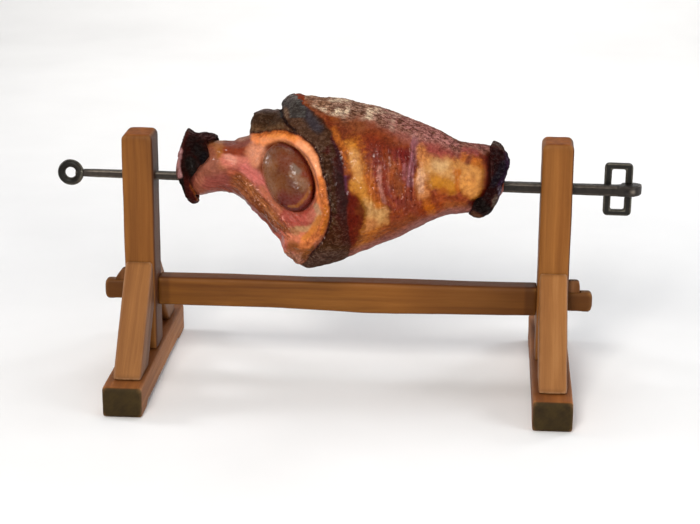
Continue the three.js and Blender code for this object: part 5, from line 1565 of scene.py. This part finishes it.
def build_head():
    # joint head of the thigh bone: a glazed dome set in the cut face
    ob = blob("ham_bone_head", (-78.6, 0.6, -62.5), (35.3, 51.0, 21.0), rot=-HEAD_T, lean=math.radians(-17))
    remesh(ob, 1.5 * MM, 3, 0.5)
    p = coords(ob) / MM
    nm = normals(ob)
    ab = sheet(p)
    d = 1.3 * fbm(p / 18.0, 3, 81) + 0.5 * fbm(p / 6.0, 3, 82)
    set_coords(ob, (p + nm * d[:, None]) * MM)
    P = Paint(p, ab, srgb(107, 63, 38), 0.95, seed=5)
    # greyish left of the head, lightened as a painted highlight
    P.stroke([(268, 160), (266, 176), (274, 192)], 8, (138, 98, 76), 0.8, 0.6, gloss=0.8)
    P.stroke([(274, 152), (286, 152)], 7, (116, 74, 54), 0.8, 0.6)
    P.stroke([(284, 160), (294, 164), (300, 170)], 8, (118, 66, 48), 0.9, 0.6)
    P.stroke([(280, 178), (284, 190)], 6, (120, 78, 58), 0.7, 0.6)
    P.stroke([(282, 198), (290, 204), (300, 202)], 8, (108, 50, 28), 0.9, 0.6)
    # painted shade on the dome's right edge
    P.stroke([(306, 176), (310, 190), (307, 200)], 5, (122, 60, 44), 0.8, 0.6)
    # painted highlight right of the dome's centre
    P.stroke([(296, 176), (304, 186)], 5, (140, 104, 84), 0.7, 0.6)
    # painted shade round the head's edge, weaker on its lit left side
    P.lay(smoothstep(-4.5, -1.0, head_ring(ab)) * (1 - 0.7 * smoothstep(300, 268, ab[:, 0] + 0.25 * (190 - ab[:, 1]))), (86, 40, 32), 0.75)
    # pinkish left edge of the head, partly painted light on its lit side
    P.lay(smoothstep(-3.0, -0.5, head_ring(ab)) * smoothstep(285, 262, ab[:, 0]), (170, 108, 92), 0.5)
    P.stroke([(310, 188), (306, 198), (298, 206), (289, 207)], 1.6, (156, 98, 48), 0.7, 0.6)
    # painted reflection: a grey patch on the dome
    P.stroke([(295, 168), (300, 172)], 4.0, (128, 118, 112), 0.6, 0.6)
    P.col = P.col * np.array((0.95, 0.89, 0.76))
    attribute(ob, "rest", p * MM)
    attribute(ob, "tint", np.concatenate([deepen(P.col), np.ones((len(p), 1))], 1))
    m = Nodes("glazed bone")
    tint, r = m.attr("tint", "Color"), m.attr("rest", "Vector")
    n1 = m.noise(m.mapping(r, (60, 60, 60)), 1.0, 6, 0.6)
    n2 = m.noise(m.mapping(r, (260, 260, 260)), 1.0, 5, 0.7)
    v = m.voronoi(m.mapping(r, (220, 220, 220)), 1.0)
    col = m.mix(m.remap(n1, 0.38, 0.60, 0.5, 0.0), tint, m.vmath("MULTIPLY", tint, (0.6, 0.5, 0.45)))
    col = m.mix(m.remap(n2, 0.54, 0.72, 0.0, 0.5), col, m.vmath("MULTIPLY", tint, (1.4, 1.45, 1.5)))
    m.set("Base Color", col)
    m.set("Roughness", m.remap(n2, 0.3, 0.7, 0.20, 0.40))
    m.set("Specular IOR Level", 0.22)
    m.set("Coat Weight", m.remap(n2, 0.44, 0.58, 0.0, 0.40))
    m.set("Coat Roughness", 0.12)
    m.set("Subsurface Weight", 0.08)
    m.set("Subsurface Radius", (0.8, 0.4, 0.2))
    m.set("Subsurface Scale", 0.004)
    n3 = m.noise(m.mapping(r, (620, 620, 620)), 1.0, 3, 0.6)
    h = m.math("MULTIPLY_ADD", n2, 0.8, m.math("MULTIPLY", v, -0.5))
    h = m.math("MULTIPLY_ADD", n3, 0.35, h)
    m.set("Normal", m.bump(h, 0.75, 0.0013))
    ob.data.materials.append(m.mat)
    shade_smooth(ob)
    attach(ob, "spit")
    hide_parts("ham_joint_head")
    return ob


def collar(name, xs, top, bot, front, back, left, right, wall, seed, ragged, node, paint):
    """Charred skin standing round an end of the leg, open inside, with torn edges.
    left and right give where its two edges run: (height above the axis, place along the spit)."""
    n = 132
    th = 2 * np.pi * np.arange(n) / n
    c, s = np.cos(th), np.sin(th)
    ex = 2.2
    k = 1 / (np.abs(c) ** ex + np.abs(s) ** ex) ** (1 / ex)
    mid = len(xs) // 2
    height = (top[mid] + bot[mid]) / 2 + (top[mid] - bot[mid]) / 2 * s * k
    tear = ragged * fbm(np.stack([np.cos(th) * 2.1, np.sin(th) * 2.1, th * 0 + seed], 1), 4, seed)
    tear2 = ragged * fbm(np.stack([np.cos(th) * 2.6 + 7, np.sin(th) * 2.6, th * 0 + seed], 1), 4, seed + 1)
    lx = np.interp(height, [q[0] for q in left], [q[1] for q in left])
    rx = np.interp(height, [q[0] for q in right], [q[1] for q in right])
    lx, rx = lx + tear, rx + tear2
    rows, L = [], 30
    for side in (0, 1):
        seq = range(L) if side == 0 else range(L - 1, -1, -1)
        for i in seq:
            u = i / (L - 1)
            x = lx + u * (rx - lx)
            T, B = np.interp(x, xs, top), np.interp(x, xs, bot)
            Fr, Bk = np.interp(x, xs, front), np.interp(x, xs, back)
            g = -wall * side * (1 - 0.5 * (2 * abs(u - 0.5)) ** 6)
            zc, hz = (T + B) / 2, (T - B) / 2 + g
            d = np.where(c > 0, -(Fr + g), (Bk + g)) * np.abs(c) * k
            rows.append(np.stack([x, zc + hz * s * k, d], 1))
    v = leg_to_world(np.concatenate(rows))
    m, f = len(rows), []
    for i in range(m):
        i2 = (i + 1) % m
        for j in range(n):
            f.append((i * n + j, i * n + (j + 1) % n, i2 * n + (j + 1) % n, i2 * n + j))
    ob = mesh_object(name, v * MM, f)
    outward(ob)
    remesh(ob, 1.4 * MM, 3, 0.45)
    p = coords(ob) / MM
    nm = normals(ob)
    d = 2.0 * fbm(p / 17.0, 3, seed + 3) + 1.0 * fbm(p / 6.5, 3, seed + 4) + 0.4 * fbm(p / 3.0, 2, seed + 5)
    p2 = p + nm * d[:, None]
    set_coords(ob, p2 * MM)
    ab, q = sheet(p2), world_to_leg(p2)
    P = paint(p2, ab, q)
    return finish_meat(ob, P, q, node, charred)


charred = roast_material("charred skin", 4.3, 0.22)


def paint_shank(p, ab, q):
    P = Paint(p, ab, srgb(52, 21, 12), 0.45, seed=11)
    front = (q[:, 2] < 0) * 1.0
    P.crust[:] = 0.15
    n = fbm(p / 9.0, 4, 91)
    P.lay(smoothstep(0.0, 0.5, n), (46, 24, 20), 0.7)
    P.stroke([(190, 130), (200, 134), (212, 135), (219, 138)], 4.0, (66, 52, 52), 0.85, 0.6, jit=2, gloss=0.25, crust=0.8)
    P.stroke([(192, 140), (196, 150)], 5, (46, 22, 18), 0.7, 0.6)
    P.stroke([(199, 150), (204, 158)], 5, (32, 13, 10), 0.9, 0.6)
    P.stroke([(190, 160), (192, 172)], 4, (30, 18, 10), 0.8, 0.6, gloss=0.9)
    P.stroke([(202, 162), (206, 156)], 3, (28, 18, 26), 0.7, 0.6)
    P.stroke([(186, 132), (181, 146)], 3, (74, 52, 46), 0.8, 0.6, jit=1)
    P.stroke([(186, 182), (190, 192), (193, 199)], 5, (70, 34, 22), 0.85, 0.6, jit=1.5, gloss=0.7)
    P.stroke([(194, 186), (197, 192), (199, 198)], 3.5, (132, 78, 46), 0.85, 0.5, jit=1.2)
    P.stroke([(197, 178), (201, 172)], 2.5, (150, 96, 66), 0.7, 0.5, jit=1.0)
    P.stroke([(182, 176), (182, 190)], 2.5, (40, 34, 32), 0.8, 0.6)
    P.stroke([(180, 150), (178, 165), (180, 176)], 2.5, (190, 140, 138), 0.9, 0.5, jit=1.0)
    return P


def paint_end(p, ab, q):
    P = Paint(p, ab, srgb(52, 22, 19), 0.4, seed=17)
    P.crust[:] = 0.3
    n = fbm(p / 8.0, 4, 95)
    P.lay(smoothstep(0.0, 0.5, n), (46, 28, 26), 0.6)
    P.stroke([(488, 150), (490, 168), (489, 182)], 3.5, (60, 26, 18), 0.85, 0.6, jit=1.5, gloss=0.7)
    P.stroke([(490, 142), (500, 144), (507, 150)], 3.5, (78, 66, 62), 0.85, 0.6, jit=1.5, crust=0.8, gloss=0.2)
    # painted rim light: purple-grey along the right rim, with crust
    P.stroke([(508, 152), (507, 165), (504, 176), (500, 184)], 3.2, (64, 54, 66), 0.9, 0.6, jit=1.0, rough=0.6, crust=0.5)
    P.stroke([(494, 182), (500, 174), (503, 166)], 5, (44, 31, 45), 0.85, 0.6, jit=1.5)
    # painted highlights: grey specks with crust
    P.stroke([(496, 198), (495, 206)], 3.0, (98, 84, 76), 0.85, 0.6, jit=1.0, crust=0.5)
    P.stroke([(478, 204), (484, 208)], 5, (34, 18, 14), 0.9, 0.6)
    # painted highlights: grey specks with crust
    P.stroke([(500, 189), (501, 198), (499, 206)], 2.6, (96, 88, 98), 0.85, 0.6, jit=1.0, crust=0.7, gloss=0.3)
    P.stroke([(473, 213), (480, 217)], 2.5, (110, 78, 62), 0.8, 0.6, jit=1.0)
    inside = (q[:, 0] > 216) * smoothstep(-0.2, 0.2, 0 * q[:, 0] + 1)
    return P


build_meat()
build_head()
collar("ham_shank_char",
       [-246, -242.5, -238.5, -234.6, -231.8, -227.3, -222, -215.5, -206.8, -196.6, -186],
       [32, 41.7, 53.4, 65.1, 70.3, 66.3, 63.6, 62.8, 64.6, 63.4, 58.0], [-6, -12, -22, -28.5, -33, -36.5, -38.7, -37.5, -34.0, -30.5, -27.5],
       [20, 26, 32, 37, 39, 40, 41, 41, 40.5, 39.5, 38.0], [18, 24, 30, 35, 37, 38, 39, 39, 38.5, 37.5, 36.0],
       [(-39, -223), (-36, -229), (-28, -236), (-20, -240), (-10, -242.5), (0, -242), (12, -240.5), (30, -241), (42, -242.5), (53, -238.5), (65, -234.6), (71, -232)],
       [(-39, -216), (-34, -214.5), (-25, -217), (-14, -220), (-6, -221), (2, -217), (12, -208), (20, -200), (27, -196.5), (36, -197.5), (46, -200), (54, -196), (60, -190)],
       4.2, 61, 3.2, "ham_shank_skin", paint_shank)
collar("ham_end_char",
       [178, 184, 190, 197.4, 203, 210.2, 217.4, 224.7, 230.6, 234],
       [62.0, 62.4, 63.0, 64.0, 65.0, 65.3, 62.8, 58.5, 52.6, 44], [-41.0, -43.8, -45.6, -44.6, -42.1, -36, -30, -14, -1, 16],
       [49, 50, 50.5, 51, 51, 49.5, 46, 41, 34, 25], [49, 50, 50.5, 51, 51, 49.5, 46, 41, 34, 25],
       [(-45, 179), (-37, 178), (-24, 180), (-14, 185), (-11, 193), (-3, 201.5), (10, 205), (25, 203), (42, 202), (55, 202.5), (64, 206)],
       [(-45, 203), (-38, 208), (-30, 216), (-20, 221.5), (-5, 226), (8, 230), (20, 233), (40, 233), (50, 230), (60, 222)],
       4.2, 67, 2.6, "ham_end_skin", paint_end)


# ------------------------------------------------------------------ stage and light
def stage_material():
    m = Nodes("floor paper")
    tc = m.nt.nodes.new("ShaderNodeTexCoord")
    n = m.noise(m.mapping(tc.outputs["Object"], (3, 3, 3)), 1.0, 3, 0.5)
    col = m.mix(m.remap(n, 0.3, 0.7, 0, 1), srgb(232, 231, 229), srgb(238, 237, 235))
    m.set("Base Color", col)
    m.set("Roughness", 0.85)
    m.set("Specular IOR Level", 0.15)
    return m.mat


def build_stage():
    """Seamless pale floor that rises into a wall behind."""
    prof = [(-3.4, 0.0)] + [(2.6 + 1.4 * math.sin(a), 1.4 - 1.4 * math.cos(a)) for a in np.linspace(0, math.pi / 2, 24)] + [(4.0, 5.0)]
    v, f = [], []
    for x in (-6.0, 6.0):
        for y, z in prof:
            v.append((x, y, z))
    n = len(prof)
    for i in range(n - 1):
        f.append((i, i + 1, n + i + 1, n + i))
    ob = mesh_object("floor", v, f)
    bm = bmesh.new()
    bm.from_mesh(ob.data)
    bmesh.ops.recalc_face_normals(bm, faces=bm.faces)
    if sum(fc.normal.z for fc in bm.faces) < 0:
        bmesh.ops.reverse_faces(bm, faces=bm.faces)
    bm.to_mesh(ob.data)
    bm.free()
    shade_smooth(ob)
    ob.data.materials.append(stage_material())
    return ob


def area(name, loc, target, size, power, color=(1, 1, 1), size_y=None):
    d = bpy.data.lights.new(name, "AREA")
    d.shape = "RECTANGLE"
    d.size = size
    d.size_y = size_y or size
    d.energy = power
    d.color = color
    o = bpy.data.objects.new(name, d)
    COLL.objects.link(o)
    o.location = loc
    o.rotation_euler = (Vector(target) - Vector(loc)).to_track_quat("-Z", "Y").to_euler()
    return o


build_stage()
w = bpy.data.worlds.new("studio")
SCENE.world = w
w.use_nodes = True
w.node_tree.nodes["Background"].inputs[0].default_value = (0.90, 0.93, 1.0, 1)
w.node_tree.nodes["Background"].inputs[1].default_value = 0.24
area("key", (-0.45, -2.5, 2.1), (0, 0, 0.2), 0.8, 62, (1.0, 0.97, 0.93))
area("fill", (2.2, -1.3, 0.8), (0, 0, 0.15), 1.2, 26, (0.93, 0.96, 1.0))
area("top", (0.1, 0.4, 2.4), (0, 0, 0.2), 1.4, 14, (0.97, 0.98, 1.0))
area("wall wash", (0, 1.6, 2.4), (0, 4.0, 1.3), 1.6, 60, (1.0, 0.99, 0.98))
area("front", (-0.1, -2.6, 0.9), (0, 0, 0.28), 0.3, 12, (1.0, 0.98, 0.96))
area("rim left", (-2.0, 0.3, 1.0), (0, 0, 0.28), 0.5, 14, (0.95, 0.96, 1.0))
area("rim right", (2.1, 1.3, 1.1), (0, 0, 0.25), 0.7, 18, (0.92, 0.95, 1.0))
SCENE.view_settings.view_transform = "Standard"
SCENE.view_settings.look = "None"
